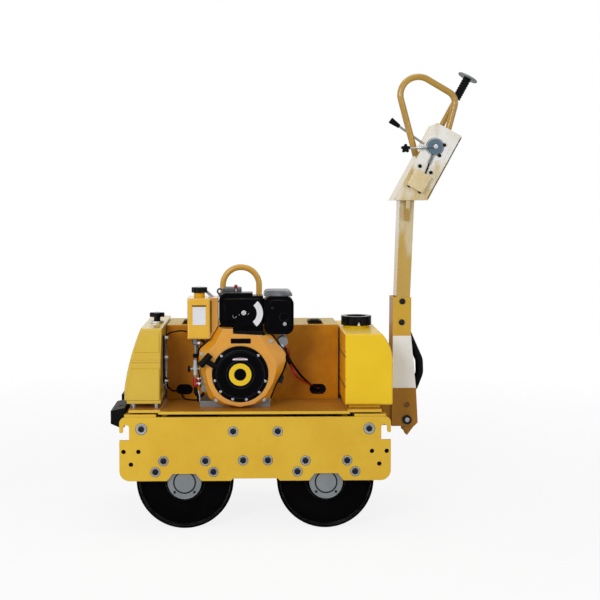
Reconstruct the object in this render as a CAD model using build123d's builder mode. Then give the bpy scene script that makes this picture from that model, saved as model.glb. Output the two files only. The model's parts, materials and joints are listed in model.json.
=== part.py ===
from build123d import *
import os
from math import cos, radians, sin, sqrt, tan

# Walk-behind double-drum vibratory roller, its drawbar folded upright for parking.
# Millimetres. +X points to the operator's end, -Y to the engine side, +Z up.
# The origin is on the ground, midway between the two drum axles and between the side plates.

os.makedirs("parts", exist_ok=True)

# ---------------------------------------------------------------- driving dimensions
# Clearances
running_gap = 0.05  # radial clearance of a shaft in its bore
face_gap = 0.5  # between two pieces that pass close by each other
panel_gap = 3  # between the front tank and the cover
plastic_gap = 9  # between the plastic tank and the cover

# Drums and axles
drum_radius = 212.5
drum_width = 600
drum_wall = 14
drum_rim_round = 12
drum_head_recess = 24
drum_head_thick = 14
boss_radius = 88
boss_proud = 16  # boss face beyond the drum's head
boss_length = 52
stub_short = 5  # the stub's end stays this far inside the boss
wheelbase = 615
axle_radius = 30
drum_side_gap = 38  # from a drum's end to the side plate

# Side plates
plate_thick = 12
plate_reach = 280.5  # beyond the axle, along X
plate_rise = 9.5  # lower edge above the axle
plate_height = 277
plate_arch_rise = 10  # raised stretch between the drums
plate_arch_half = 96
plate_arch_slope = 12
plate_low_round = 45
plate_high_round = 25
notch_height = 31  # above the plate's lower edge
notch_half_top = 50
notch_half_low = 76
hook_throat_drop = 68  # from the plate's top to the throat's upper edge
hook_throat_height = 32
hook_depth = 42
hook_finger = 16
hook_slot_height = 35
lug_hole_radius = 10
lug_circle_radius = 37
lug_inset = 50  # from the plate's end
lug_rise = 109  # above the plate's lower edge

# Hub carriers and hubs
spacer_length = 21
spacer_radius = 17
spacer_land = 4  # carrier plate left round a spacer
carrier_thick = 10
carrier_low_radius = 68
carrier_high_bolt = (90.5, 96)  # from the axle: along X, up
carrier_low_bolt = (125.5, 48)
hub_radius = 73
hub_thick = 18
hub_cap_radius = 46.5
hub_cap_proud = 2

# Lower frame
flange_inset = 21  # from the plate's end
flange_width = 137
flange_thick = 12
flange_lap = 7  # of the plate's thickness that the flange covers
beam_inset = 22  # from the flange's outer edge
beam_width = 110
beam_height = 69
end_plate_thick = 8
end_plate_height = 27
mid_web_half = 75
mid_web_rise = 48  # above the plate's lower edge
mid_flange_half = 120
mid_flange_height = 63
mid_flange_drop = 9  # below the plate's top
hitch_half_width = 75
hitch_low_drop = 28  # below the drawbar's pivot
scraper_up = 49.5  # above the axle
scraper_thick = 8
scraper_width = 36
scraper_gap = 6

# Isolators between the lower frame and the deck
isolator_radius = 42
isolator_inset = 48  # from the side plate's inner face
isolator_proud = 6
pocket_depth = 24
pocket_gap = 4

# Deck
deck_thick = 12
deck_drop = 6  # below the shelves' underside
deck_front_lap = 10  # over the front flange
deck_rear_gap = 20  # short of the rear flange
shelf_thick = 12
shelf_inset = 18  # from the flange's outer edge
shelf_narrow = 5
shelf_lap = 8

# Bumpers
bumper_length = 59
bumper_width = 251
bumper_hole_side = 87.5  # from the plate
bumper_low_drop = 29  # below the plate's top
bumper_high_rise = 27  # above the plate's top
bumper_peak_rise = 38
bumper_chamfer = 52
bumper_foot_drop = 44
bumper_foot_slope = 24
bumper_hole_radius = 11
bumper_hole_depth = 16
bumper_hole_out = 24  # from the end plate

# Cover over the hydraulics
cover_front_step = 16  # behind the deck's front edge
cover_rear_step = 27
cover_near = -29
cover_far_step = 55
cover_height = 343
cover_round = 5
cable_hole_depth = 25
cable_hole_half = 33.5
cable_hole_height = 38
left_hole_inset = 80.5  # from the cover's front end
right_hole_inset = 93.5  # from the cover's rear end
cable_hole_rise = 46  # above the deck
latch_length = 70
latch_reach = 122
latch_step = 7  # behind the cover's near face
latch_depth = 8
latch_inset = 101

# Front tank, of steel
front_tank_height = 328.5
front_tank_flange = 15
front_tank_foot_height = 21
front_tank_nose = 23  # beyond the shelf's end
front_tank_top_length = 92.5
front_tank_rear_slope = 10
nose_middle_back = 31  # the nose's curve at a third of the way down
nose_middle_drop = 118.5
nose_foot_rise = 68
front_tank_round = 9
front_tank_flange_step = 12
tank_foot_radius = 9
tank_foot_pitch = 100
tank_foot_inset = 15
tank_foot_back = 89  # the feet's middle, from the tank's nose
cap_inset = 40  # from the front tank's rear edge
cap_y = -55
cap_neck_radius = 31
cap_neck_height = 9
cap_stem_radius = 15
cap_stem_height = 19
cap_top_radius = 24
cap_lobe_radius = 10
cap_lobes = 4
cap_top_height = 20

# Rear tank, of moulded plastic
rear_tank_length = 210
rear_tank_height = 311
rear_tank_shoulder = 195  # height of its straight rear face
rear_tank_top_back = 46
rear_bulge_back = 14
rear_bulge_rise = 66
rear_tank_round = 8
groove_heights = (112, 234)  # of the two moulded grooves, above the tank's base
groove_depth = 6
groove_half_width = 7
tray_height = 12
tray_narrow = 60
lid_inset = 79  # from the tank's front face
lid_y = 15
lid_neck_radius = 60
lid_neck_height = 10
lid_radius = 70
lid_height = 42
lid_flutes = 24
lid_flute_radius = 4
lid_dish_radius = 46
lid_dish_depth = 7

# Lifting hoop
hoop_tube_radius = 14
hoop_span = 168
hoop_x = -64
hoop_y = 50
hoop_height = 275
hoop_foot_radius = 24
hoop_foot_thick = 8

# Engine: places are from the crankshaft's centre, along X and up
crank_x = -66
crank_rise = 153  # above the deck
base_thick = 26
base_ahead = 179
base_behind = 132
base_depth = 170
case_near = -230
case_ahead = 124
case_behind = 136
case_rise = 94
cylinder_half_length = 70
cylinder_shift = -14
cylinder_near = -185
cylinder_far = -55
fin_count = 6
fin_thick = 4
fin_pitch = 13
fin_reach = 10
fin_depth_reach = 17
head_height = 124
rocker_height = 73
rocker_round = 14
eye_ahead = 7  # of the cylinder's front
eye_drop = 14
eye_radius = 15
eye_hole_radius = 7
eye_thick = 8
tank_bracket_ahead = 32
tank_bracket_height = 130
pump_ahead = 48
shroud_depth = 55
shroud_skirt = 22
skirt_round = 26
face_round = 20
starter_radius = 123
starter_recess = 23
starter_clearance = 1
starter_flange_proud = 6
starter_case_radius = 100
starter_case_proud = 6
starter_hub_radius = 50
starter_hub_proud = 2
starter_well_radius = 26
starter_well_depth = 4
grip_radius = 15
rope_guide_radius = 12
fuel_tank_front = -231
fuel_tank_length = 100
fuel_tank_low = 154
fuel_tank_height = 179
fuel_tank_near = -290
fuel_tank_far = -130
fuel_tank_wing = 33
fuel_tank_wing_near = -262
fuel_tank_wing_slope = 56
fuel_tank_round = 9
fuel_neck_radius = 24
fuel_neck_height = 20
fuel_cap_radius = 29
fuel_cap_height = 24
fuel_cap_lobes = 8
cleaner_near = -290
cleaner_far = -180
cleaner_face_step = 24
cleaner_face_proud = 22
cleaner_round = 32
cleaner_ahead = 93
cleaner_behind = 101
cleaner_low = 182
cleaner_foot = 26  # its forward part stands this much higher
cleaner_foot_ahead = 25
cleaner_high = 355
cleaner_tab_behind = 55
cleaner_notch = 13
muffler_near = -285
muffler_far = -120
muffler_ahead = 104  # its front side, behind the crankshaft
muffler_low_up = 173
muffler_length = 131
muffler_height = 167
muffler_round = 34
muffler_face_step = 16
muffler_face_proud = 14
muffler_shoulder = 20  # its far part reaches this far behind the air cleaner
shoulder_gap = 3
outlet_inset = 43
outlet_up = 76
outlet_radius = 19
outlet_depth = 14
guard_thick = 24
guard_round = 21
guard_inset = 6
guard_lip = 1
motor_behind = 189
motor_up = 136
motor_radius = 22
motor_near = -229
motor_length = 109
pipe_radius = 6
cable_radius = 3.5
starter_cable_radius = 5

# Drawbar, in the parked position: places are from the pivot, along X and up
pivot_reach = 130.4  # from the end plate
pivot_drop = 67  # below the plate's top
pivot_radius = 14
pivot_head_radius = 21
pivot_head_thick = 9
ear_inner = 43
ear_thick = 10
hinge_base_thick = 12
cheek_gap = 5  # between an ear and a cheek
cheek_thick = 8
lock_hole_ahead = -2.4
lock_hole_up = 68.6
lock_hole_radius = 15
bracket_drop = 6  # below the plastic tank
cheek_height = 562
web_rise = 130
web_thick = 8
column_depth = 66
column_rise = 410
column_shift = -25.4
column_lean = 2.3
gusset_drop = 86
gusset_thick = 18
console_half_width = 98
console_lean = 28.6
console_shift = -68.4
console_rise = 1006
console_length = 403
console_depth = 137
console_round = 10
loop_y = -20
loop_tube_radius = 15
push_across = 43
push_y = 28
push_rod_radius = 13
push_rod_length = 158
push_grip_radius = 19
push_grip_length = 106
push_grip_ribs = 9
push_rib_depth = 2
stop_disc_radius = 48
stop_disc_thick = 9
lever_y = 12
lever_radius = 5.5
knob_small_radius = 9
knob_large_radius = 15
knob_length = 52
dial_up = 302
dial_across = 48
dial_radius = 36
dial_thick = 14
throttle_radius = 5
throttle_length = 122
throttle_tilt = 0.07
throttle_hub_radius = 10
throttle_hub_thick = 11
star_radius = 14
star_lobe_radius = 6.5
star_lobes = 5
star_thick = 20
box_up = 131
box_across = 58
box_length = 84
box_width = 82
box_height = 26
box_round = 5
hose_radius = 18

# ---------------------------------------------------------------- derived places
axle_z = drum_radius
plate_bottom = axle_z + plate_rise
plate_top = plate_bottom + plate_height
flange_top = plate_top + flange_thick
shelf_low = flange_top + isolator_proud
shelf_top = shelf_low + shelf_thick
deck_low = shelf_low - deck_drop
deck_top = deck_low + deck_thick
cover_top = deck_top + cover_height

drum_half = drum_width / 2
plate_inner = drum_half + drum_side_gap
carrier_outer = plate_inner - spacer_length
flange_half = plate_inner + flange_lap
shelf_half = flange_half - shelf_narrow
cover_far = flange_half - cover_far_step

plate_end = wheelbase / 2 + plate_reach
flange_outer = plate_end - flange_inset
flange_inner = flange_outer - flange_width
beam_outer = flange_outer - beam_inset
beam_inner = beam_outer - beam_width
shelf_end = flange_outer - shelf_inset
deck_front = -flange_inner + deck_front_lap
deck_rear = flange_inner - deck_rear_gap
cover_front = deck_front + cover_front_step
cover_rear = deck_rear - cover_rear_step

crank_z = deck_top + crank_rise
pivot_x = flange_outer + pivot_reach
pivot_z = plate_top - pivot_drop
cheek_inner = ear_inner + ear_thick + cheek_gap
cheek_outer = cheek_inner + cheek_thick

axles = (("front", -wheelbase / 2), ("rear", wheelbase / 2))
sides = (("left", -1), ("right", 1))
ends = (("front", -1), ("rear", 1))


def side_plane(y=0):
    """A plane facing the engine side at y: sketches on it read as (x, z), and extrude towards -Y."""
    return Plane(origin=(0, y, 0), x_dir=(1, 0, 0), z_dir=(0, -1, 0))


def block(x_range, y_range, z_range, mode=Mode.ADD):
    """A rectangular block between two limits on each axis."""
    low = (x_range[0], y_range[0], z_range[0])
    size = (x_range[1] - x_range[0], y_range[1] - y_range[0], z_range[1] - z_range[0])
    with Locations(low):
        Box(*size, align=(Align.MIN, Align.MIN, Align.MIN), mode=mode)


def corners_at(sketch, test):
    """The sketch's corners whose local place passes the test."""
    return [corner for corner in sketch.vertices() if test(corner.X, corner.Y)]


def about(centre, places):
    """The (x, z) places that lie at the given distances from a centre."""
    return [(centre[0] + x, centre[1] + z) for x, z in places]


def bent_bar(points, radii, radius, seats=()):
    """A round bar along straight runs joined by tangent arcs, cut flush where it meets its seats."""
    with BuildPart() as bar:
        with BuildLine() as path:
            FilletPolyline(*points, radius=radii)
        with BuildSketch(Plane(origin=path.line @ 0, z_dir=path.line % 0)):
            Circle(radius)
        sweep()
        for seat in seats:
            add(seat, mode=Mode.SUBTRACT)
    return bar


def straight_bar(start, end, radius, seats=()):
    """A round bar between two points, cut flush where it meets its seats."""
    run = Vector(*end) - Vector(*start)
    with BuildPart() as bar:
        with BuildSketch(Plane(origin=start, z_dir=tuple(run.normalized()))):
            Circle(radius)
        extrude(amount=run.length)
        for seat in seats:
            add(seat, mode=Mode.SUBTRACT)
    return bar


# ---------------------------------------------------------------- drums
head_face = drum_half - drum_head_recess
boss_face = head_face + boss_proud
shell_inner = drum_radius - drum_wall
bore_radius = axle_radius + running_gap
drum_profile = (
    (0, drum_radius),
    (drum_half, drum_radius),
    (drum_half, shell_inner),
    (head_face, shell_inner),
    (head_face, boss_radius),
    (boss_face, boss_radius),
    (boss_face, bore_radius),
    (boss_face - boss_length, bore_radius),
    (boss_face - boss_length, boss_radius),
    (head_face - drum_head_thick, boss_radius),
    (head_face - drum_head_thick, shell_inner),
    (0, shell_inner),
)
for end, axle_x in axles:
    with BuildPart() as drum:
        with BuildSketch(Plane(origin=(axle_x, 0, axle_z), x_dir=(0, 1, 0), z_dir=(1, 0, 0))) as half:
            Polygon(*drum_profile, align=None)
            mirror(about=Plane.YZ)
            rims = corners_at(half, lambda y, r: r > drum_radius - 1 and abs(y) > drum_half - 1)
            fillet(rims, drum_rim_round)
        revolve(axis=Axis((axle_x, 0, axle_z), (0, 1, 0)))
    drum.part.label = f"{end}_drum"
    export_step(drum.part, f"parts/{end}_drum.step")

# ---------------------------------------------------------------- side plates
throat_high = plate_top - hook_throat_drop
throat_low = throat_high - hook_throat_height
throat_x = plate_end - hook_depth
slot_width = hook_depth - hook_finger
slot_x = throat_x + slot_width / 2
slot_straight = hook_slot_height - slot_width / 2
lug_x = plate_end - lug_inset
lug_z = plate_bottom + lug_rise
for side_name, side in sides:
    with BuildPart() as side_plate:
        with BuildSketch(side_plane(side * plate_inner)) as outline:
            with Locations((0, (plate_top + plate_bottom) / 2)):
                Rectangle(2 * plate_end, plate_height)
            fillet(corners_at(outline, lambda x, z: z < plate_bottom + 1), plate_low_round)
            fillet(corners_at(outline, lambda x, z: z > plate_top - 1), plate_high_round)
            Polygon(
                (-plate_arch_half - plate_arch_slope, plate_bottom - 1),
                (-plate_arch_half, plate_bottom + plate_arch_rise),
                (plate_arch_half, plate_bottom + plate_arch_rise),
                (plate_arch_half + plate_arch_slope, plate_bottom - 1),
                align=None,
                mode=Mode.SUBTRACT,
            )
            for end, axle_x in axles:
                Polygon(
                    (axle_x - notch_half_low, plate_bottom - 1),
                    (axle_x - notch_half_top, plate_bottom + notch_height),
                    (axle_x + notch_half_top, plate_bottom + notch_height),
                    (axle_x + notch_half_low, plate_bottom - 1),
                    align=None,
                    mode=Mode.SUBTRACT,
                )
            for end, way in ends:
                with Locations((way * plate_end, (throat_low + throat_high) / 2)):
                    Rectangle(2 * hook_depth, hook_throat_height, mode=Mode.SUBTRACT)
                with Locations((way * slot_x, throat_high + slot_straight)):
                    Circle(slot_width / 2, mode=Mode.SUBTRACT)
                with Locations((way * slot_x, throat_high + slot_straight / 2)):
                    Rectangle(slot_width, slot_straight, mode=Mode.SUBTRACT)
                with Locations((way * lug_x, lug_z)):
                    with PolarLocations(lug_circle_radius, 3, start_angle=30):
                        Circle(lug_hole_radius, mode=Mode.SUBTRACT)
            tips = corners_at(
                outline,
                lambda x, z: abs(z - throat_high) < 1 and abs(x) > throat_x + slot_width - 1,
            )
            fillet(tips, hook_finger / 2 - face_gap)
        extrude(amount=-side * plate_thick)
    side_plate.part.label = f"side_plate_{side_name}"
    export_step(side_plate.part, f"parts/side_plate_{side_name}.step")

# ---------------------------------------------------------------- hub carriers and hubs
high_x, high_up = carrier_high_bolt
low_x, low_up = carrier_low_bolt
carrier_bolts = ((-high_x, high_up), (high_x, high_up), (-low_x, low_up), (low_x, low_up))
carrier_edge = spacer_radius + spacer_land
carrier_outline = (
    (-low_x - carrier_edge, low_up - carrier_edge),
    (-low_x - carrier_edge, low_up + carrier_edge),
    (-high_x - carrier_edge, high_up + carrier_edge),
    (high_x + carrier_edge, high_up + carrier_edge),
    (low_x + carrier_edge, low_up + carrier_edge),
    (low_x + carrier_edge, low_up - carrier_edge),
)
stub_end = boss_face - boss_length + stub_short
for end, axle_x in axles:
    for side_name, side in sides:
        carrier_plane = side_plane(side * carrier_outer)
        with BuildPart() as carrier:
            with BuildSketch(carrier_plane):
                with Locations((axle_x, axle_z)):
                    Polygon(*carrier_outline, align=None)
                    Circle(carrier_low_radius)
                    Circle(bore_radius, mode=Mode.SUBTRACT)
            extrude(amount=side * carrier_thick)
            with BuildSketch(carrier_plane):
                with Locations((axle_x, axle_z)):
                    with Locations(*carrier_bolts):
                        Circle(spacer_radius)
            extrude(amount=-side * spacer_length)
        carrier.part.label = f"hub_carrier_{end}_{side_name}"
        export_step(carrier.part, f"parts/hub_carrier_{end}_{side_name}.step")

        with BuildPart() as hub:
            # radius, length from the carrier's outer face, towards the side plate if positive
            for radius, length in (
                (hub_radius, hub_thick),
                (hub_cap_radius, hub_thick + hub_cap_proud),
                (axle_radius, stub_end - carrier_outer),
            ):
                with BuildSketch(carrier_plane):
                    with Locations((axle_x, axle_z)):
                        Circle(radius)
                extrude(amount=-side * length)
        hub.part.label = f"hub_{end}_{side_name}"
        export_step(hub.part, f"parts/hub_{end}_{side_name}.step")

# ---------------------------------------------------------------- lower frame
pocket_low = flange_top - pocket_depth
end_plate_low = plate_top - end_plate_height
end_plate_inner = flange_outer - end_plate_thick
hitch_low = pivot_z - hitch_low_drop
isolator_x = (beam_inner + beam_outer) / 2
isolator_y = plate_inner - isolator_inset
hitch_range = (-hitch_half_width, hitch_half_width)
for end, way in ends:
    with BuildPart() as end_beam:
        # inner and outer |X|, half width, low and high Z
        for inner, outer, half_width, low, high in (
            (beam_inner, beam_outer, plate_inner, plate_top - beam_height, plate_top),
            (flange_inner, flange_outer, flange_half, plate_top, flange_top),
            (end_plate_inner, flange_outer, plate_inner, end_plate_low, plate_top),
            (beam_outer, end_plate_inner, hitch_half_width, end_plate_low, plate_top),
        ):
            block(sorted((way * inner, way * outer)), (-half_width, half_width), (low, high))
        if end == "rear":
            block((beam_outer, flange_outer), hitch_range, (hitch_low, plate_top))
        with BuildSketch(Plane.XY.offset(flange_top)):
            with Locations((way * isolator_x, -isolator_y), (way * isolator_x, isolator_y)):
                Circle(isolator_radius + pocket_gap)
        extrude(amount=-pocket_depth, mode=Mode.SUBTRACT)
    end_beam.part.label = f"{end}_beam"
    export_step(end_beam.part, f"parts/{end}_beam.step")

mid_flange_top = plate_top - mid_flange_drop
mid_flange_low = mid_flange_top - mid_flange_height
between_plates = (-plate_inner, plate_inner)
with BuildPart() as mid_beam:
    block((-mid_web_half, mid_web_half), between_plates, (plate_bottom + mid_web_rise, mid_flange_low))
    block((-mid_flange_half, mid_flange_half), between_plates, (mid_flange_low, mid_flange_top))
mid_beam.part.label = "mid_beam"
export_step(mid_beam.part, "parts/mid_beam.step")

with BuildPart() as isolators:
    with BuildSketch(Plane.XY.offset(pocket_low)):
        with GridLocations(2 * isolator_x, 2 * isolator_y, 2, 2):
            Circle(isolator_radius)
    extrude(amount=shelf_low - pocket_low)
isolators.part.label = "isolators"
export_step(isolators.part, "parts/isolators.step")

scraper_z = axle_z + scraper_up
scraper_tip = wheelbase / 2 + sqrt(drum_radius**2 - scraper_up**2) + scraper_gap
with BuildPart() as scrapers:
    for end, way in ends:
        scraper_range = sorted((way * scraper_tip, way * (scraper_tip + scraper_width)))
        block(scraper_range, between_plates, (scraper_z, scraper_z + scraper_thick))
scrapers.part.label = "scrapers"
export_step(scrapers.part, "parts/scrapers.step")

# ---------------------------------------------------------------- deck and bumpers
with BuildPart() as deck:
    block((deck_front, deck_rear), (-flange_half, flange_half), (deck_low, deck_top))
    for shelf_range in ((-shelf_end, deck_front + shelf_lap), (deck_rear - shelf_lap, shelf_end)):
        block(shelf_range, (-shelf_half, shelf_half), (shelf_low, shelf_top))
deck.part.label = "deck"
export_step(deck.part, "parts/deck.step")

bumper_front = -flange_outer - bumper_length
bumper_peak = plate_top + bumper_peak_rise
bumper_inner = plate_inner - bumper_width
hole_x = -flange_outer - bumper_hole_out
with BuildPart() as bumpers:
    for side_name, side in sides:
        with BuildSketch(side_plane(side * plate_inner)):
            Polygon(
                (bumper_front, plate_top - bumper_low_drop),
                (bumper_front, plate_top + bumper_high_rise),
                (bumper_front + bumper_chamfer, bumper_peak),
                (-flange_outer, bumper_peak),
                (-flange_outer, plate_top - bumper_foot_drop),
                (-flange_outer - bumper_foot_slope, plate_top - bumper_foot_drop),
                align=None,
            )
        extrude(amount=side * bumper_width)
        with BuildSketch(Plane.XY.offset(bumper_peak)):
            with Locations((hole_x, side * (plate_inner - bumper_hole_side))):
                Circle(bumper_hole_radius)
        extrude(amount=-bumper_hole_depth, mode=Mode.SUBTRACT)
bumpers.part.label = "bumpers"
export_step(bumpers.part, "parts/bumpers.step")

# ---------------------------------------------------------------- cover
cable_hole_z = deck_top + cable_hole_rise
left_hole_x = cover_front + left_hole_inset
right_hole_x = cover_rear - right_hole_inset
with BuildPart() as cover:
    block((cover_front, cover_rear), (cover_near, cover_far), (deck_top, cover_top))
    fillet(cover.edges().filter_by(Axis.X).group_by(Axis.Z)[-1], cover_round)
    with BuildSketch(side_plane(cover_near)):
        with Locations((left_hole_x, cable_hole_z), (right_hole_x, cable_hole_z)):
            SlotOverall(2 * cable_hole_half, cable_hole_height)
    extrude(amount=-cable_hole_depth, mode=Mode.SUBTRACT)
    for latch_x in (cover_front + latch_inset, cover_rear - latch_inset):
        block(
            (latch_x - latch_length / 2, latch_x + latch_length / 2),
            (cover_near + latch_step, cover_near + latch_step + latch_reach),
            (cover_top - latch_depth, cover_top),
            mode=Mode.SUBTRACT,
        )
cover.part.label = "cover"
export_step(cover.part, "parts/cover.step")

# ---------------------------------------------------------------- front tank
front_tank_low = shelf_top + front_tank_foot_height
front_tank_top = front_tank_low + front_tank_height
front_tank_front = -shelf_end - front_tank_nose
front_tank_rear = cover_front - panel_gap
flange_line = front_tank_low + front_tank_flange
nose_top = (front_tank_rear - front_tank_top_length, front_tank_top)
nose_middle = (front_tank_front + nose_middle_back, front_tank_top - nose_middle_drop)
nose_foot = (front_tank_front + 1, front_tank_low + nose_foot_rise)
with BuildPart() as front_tank:
    with BuildSketch(side_plane()):
        with BuildLine():
            Polyline(
                nose_foot,
                (front_tank_front, flange_line),
                (front_tank_rear - front_tank_rear_slope, flange_line),
                (front_tank_rear, front_tank_top),
                nose_top,
            )
            ThreePointArc(nose_top, nose_middle, nose_foot)
        make_face()
    extrude(amount=drum_half, both=True)
    side_edges = front_tank.edges().filter_by(Axis.Y, reverse=True).filter_by(lambda e: e.center().Z > flange_line + 1)
    fillet(side_edges, front_tank_round)
    block(
        (front_tank_front + front_tank_flange_step, front_tank_rear - front_tank_rear_slope + 4),
        (-drum_half, drum_half),
        (front_tank_low, flange_line),
    )
front_tank.part.label = "front_tank"
export_step(front_tank.part, "parts/front_tank.step")

foot_middle = front_tank_front + tank_foot_back
with BuildPart() as tank_feet:
    with BuildSketch(Plane.XY.offset(shelf_top)):
        with Locations((foot_middle, 0)):
            with GridLocations(tank_foot_pitch, 2 * (drum_half - tank_foot_inset), 2, 2):
                Circle(tank_foot_radius)
    extrude(amount=front_tank_foot_height)
tank_feet.part.label = "tank_feet"
export_step(tank_feet.part, "parts/tank_feet.step")

cap_x = front_tank_rear - cap_inset
stem_top = front_tank_top + cap_neck_height + cap_stem_height
with BuildPart() as tank_cap:
    # radius, low Z, height
    for radius, low, height in (
        (cap_neck_radius, front_tank_top, cap_neck_height),
        (cap_stem_radius, front_tank_top + cap_neck_height, cap_stem_height),
        (cap_top_radius, stem_top, cap_top_height),
    ):
        with BuildSketch(Plane.XY.offset(low)):
            with Locations((cap_x, cap_y)):
                Circle(radius)
        extrude(amount=height)
    with BuildSketch(Plane.XY.offset(stem_top)):
        with Locations((cap_x, cap_y)):
            with PolarLocations(cap_top_radius, cap_lobes):
                Circle(cap_lobe_radius)
    extrude(amount=cap_top_height)
    fillet(tank_cap.edges().group_by(Axis.Z)[-1], cap_lobe_radius / 2)
tank_cap.part.label = "tank_cap"
export_step(tank_cap.part, "parts/tank_cap.step")

# ---------------------------------------------------------------- rear tank
rear_tank_front = cover_rear + plastic_gap
rear_tank_rear = rear_tank_front + rear_tank_length
rear_tank_low = shelf_top + tray_height
rear_tank_top = rear_tank_low + rear_tank_height
shoulder = (rear_tank_rear, rear_tank_low + rear_tank_shoulder)
crown = (rear_tank_rear - rear_tank_top_back, rear_tank_top)
bulge = (rear_tank_rear - rear_bulge_back, shoulder[1] + rear_bulge_rise)
with BuildPart() as rear_tank:
    with BuildSketch(side_plane()):
        with BuildLine():
            Polyline(
                shoulder,
                (rear_tank_rear, rear_tank_low),
                (rear_tank_front, rear_tank_low),
                (rear_tank_front, rear_tank_top),
                crown,
            )
            ThreePointArc(crown, bulge, shoulder)
        make_face()
    extrude(amount=drum_half, both=True)
    fillet(rear_tank.edges(), rear_tank_round)
    with BuildSketch(side_plane()):
        for height in groove_heights:
            with Locations((rear_tank_front, rear_tank_low + height)):
                Polygon(
                    (-1, -groove_half_width),
                    (groove_depth, 0),
                    (-1, groove_half_width),
                    align=None,
                )
    extrude(amount=drum_half, both=True, mode=Mode.SUBTRACT)
rear_tank.part.label = "rear_tank"
export_step(rear_tank.part, "parts/rear_tank.step")

tray_half = shelf_half - tray_narrow
with BuildPart() as tank_tray:
    block((deck_rear, shelf_end - 1), (-tray_half, tray_half), (shelf_top, rear_tank_low))
tank_tray.part.label = "tank_tray"
export_step(tank_tray.part, "parts/tank_tray.step")

lid_x = rear_tank_front + lid_inset
lid_low = rear_tank_top + lid_neck_height
with BuildPart() as tank_lid:
    with BuildSketch(Plane.XY.offset(rear_tank_top)):
        with Locations((lid_x, lid_y)):
            Circle(lid_neck_radius)
    extrude(amount=lid_neck_height)
    with BuildSketch(Plane.XY.offset(lid_low)):
        with Locations((lid_x, lid_y)):
            Circle(lid_radius)
            with PolarLocations(lid_radius + lid_flute_radius / 3, lid_flutes):
                Circle(lid_flute_radius, mode=Mode.SUBTRACT)
    extrude(amount=lid_height)
    with BuildSketch(Plane.XY.offset(lid_low + lid_height)):
        with Locations((lid_x, lid_y)):
            Circle(lid_dish_radius)
    extrude(amount=-lid_dish_depth, mode=Mode.SUBTRACT)
tank_lid.part.label = "tank_lid"
export_step(tank_lid.part, "parts/tank_lid.step")

# ---------------------------------------------------------------- lifting hoop
hoop_axis_top = cover_top + hoop_height - hoop_tube_radius
hoop_front = hoop_x - hoop_span / 2
hoop_rear = hoop_x + hoop_span / 2
with BuildPart() as lifting_hoop:
    add(
        bent_bar(
            (
                (hoop_front, hoop_y, cover_top),
                (hoop_front, hoop_y, hoop_axis_top),
                (hoop_rear, hoop_y, hoop_axis_top),
                (hoop_rear, hoop_y, cover_top),
            ),
            hoop_span / 2 - face_gap,
            hoop_tube_radius,
        ).part
    )
    with BuildSketch(Plane.XY.offset(cover_top)):
        with Locations((hoop_front, hoop_y), (hoop_rear, hoop_y)):
            Circle(hoop_foot_radius)
    extrude(amount=hoop_foot_thick)
lifting_hoop.part.label = "lifting_hoop"
export_step(lifting_hoop.part, "parts/lifting_hoop.step")

# ---------------------------------------------------------------- engine
base_top = deck_top + base_thick
engine_far = cover_near - face_gap
case_front = crank_x - case_ahead
case_rear = crank_x + case_behind
case_top = crank_z + case_rise
with BuildPart() as engine_base:
    block((crank_x - base_ahead, crank_x + base_behind), (case_near, case_near + base_depth), (deck_top, base_top))
engine_base.part.label = "engine_base"
export_step(engine_base.part, "parts/engine_base.step")

cylinder_x = crank_x + cylinder_shift
cylinder_front = cylinder_x - cylinder_half_length
cylinder_rear = cylinder_x + cylinder_half_length
head_low = case_top + fin_count * fin_pitch
fuel_tank_base = crank_z + fuel_tank_low
bracket_range = (fuel_tank_far - 30, fuel_tank_far - 5)
with BuildPart() as engine_block:
    block((case_front, case_rear), (case_near, engine_far), (base_top, case_top))
    block((cylinder_front, cylinder_rear), (cylinder_near, cylinder_far), (case_top, head_low))
    for fin in range(1, fin_count + 1):
        fin_top = case_top + fin * fin_pitch
        block(
            (cylinder_front - fin_reach, cylinder_rear + fin_reach),
            (cylinder_near - fin_depth_reach, cylinder_far + fin_depth_reach),
            (fin_top - fin_thick, fin_top),
        )
    block(
        (case_front - tank_bracket_ahead, case_front),
        bracket_range,
        (fuel_tank_base - tank_bracket_height, fuel_tank_base),
    )
engine_block.part.label = "engine_block"
export_step(engine_block.part, "parts/engine_block.step")

head_top = head_low + head_height
rocker_top = head_top + rocker_height
eye_x = cylinder_front - eye_ahead
eye_z = rocker_top - eye_drop
with BuildPart() as cylinder_head:
    block((cylinder_front, cylinder_rear - 15), (cylinder_near + 15, cylinder_far + 10), (head_low, head_top))
    block((cylinder_front + 5, cylinder_rear - 50), (cylinder_near + 25, cylinder_far - 5), (head_top, rocker_top))
    fillet(cylinder_head.edges().filter_by(Axis.Z).group_by(Axis.Z)[-1], rocker_round)
    fillet(cylinder_head.edges().group_by(Axis.Z)[-1], rocker_round / 2)
    with BuildSketch(side_plane(cylinder_near + 25)) as eye:
        with Locations((eye_x, eye_z)):
            Circle(eye_radius)
        Polygon(
            (eye_x, eye_z + eye_radius),
            (eye_x - eye_radius, eye_z),
            (cylinder_front + 5, head_top),
            (cylinder_front + 60, head_top),
            align=None,
        )
        with Locations((eye_x, eye_z)):
            Circle(eye_hole_radius, mode=Mode.SUBTRACT)
    extrude(amount=eye_thick)
cylinder_head.part.label = "cylinder_head"
export_step(cylinder_head.part, "parts/cylinder_head.step")

shroud_near = case_near - shroud_depth
skirt_near = case_near - shroud_skirt
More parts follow.
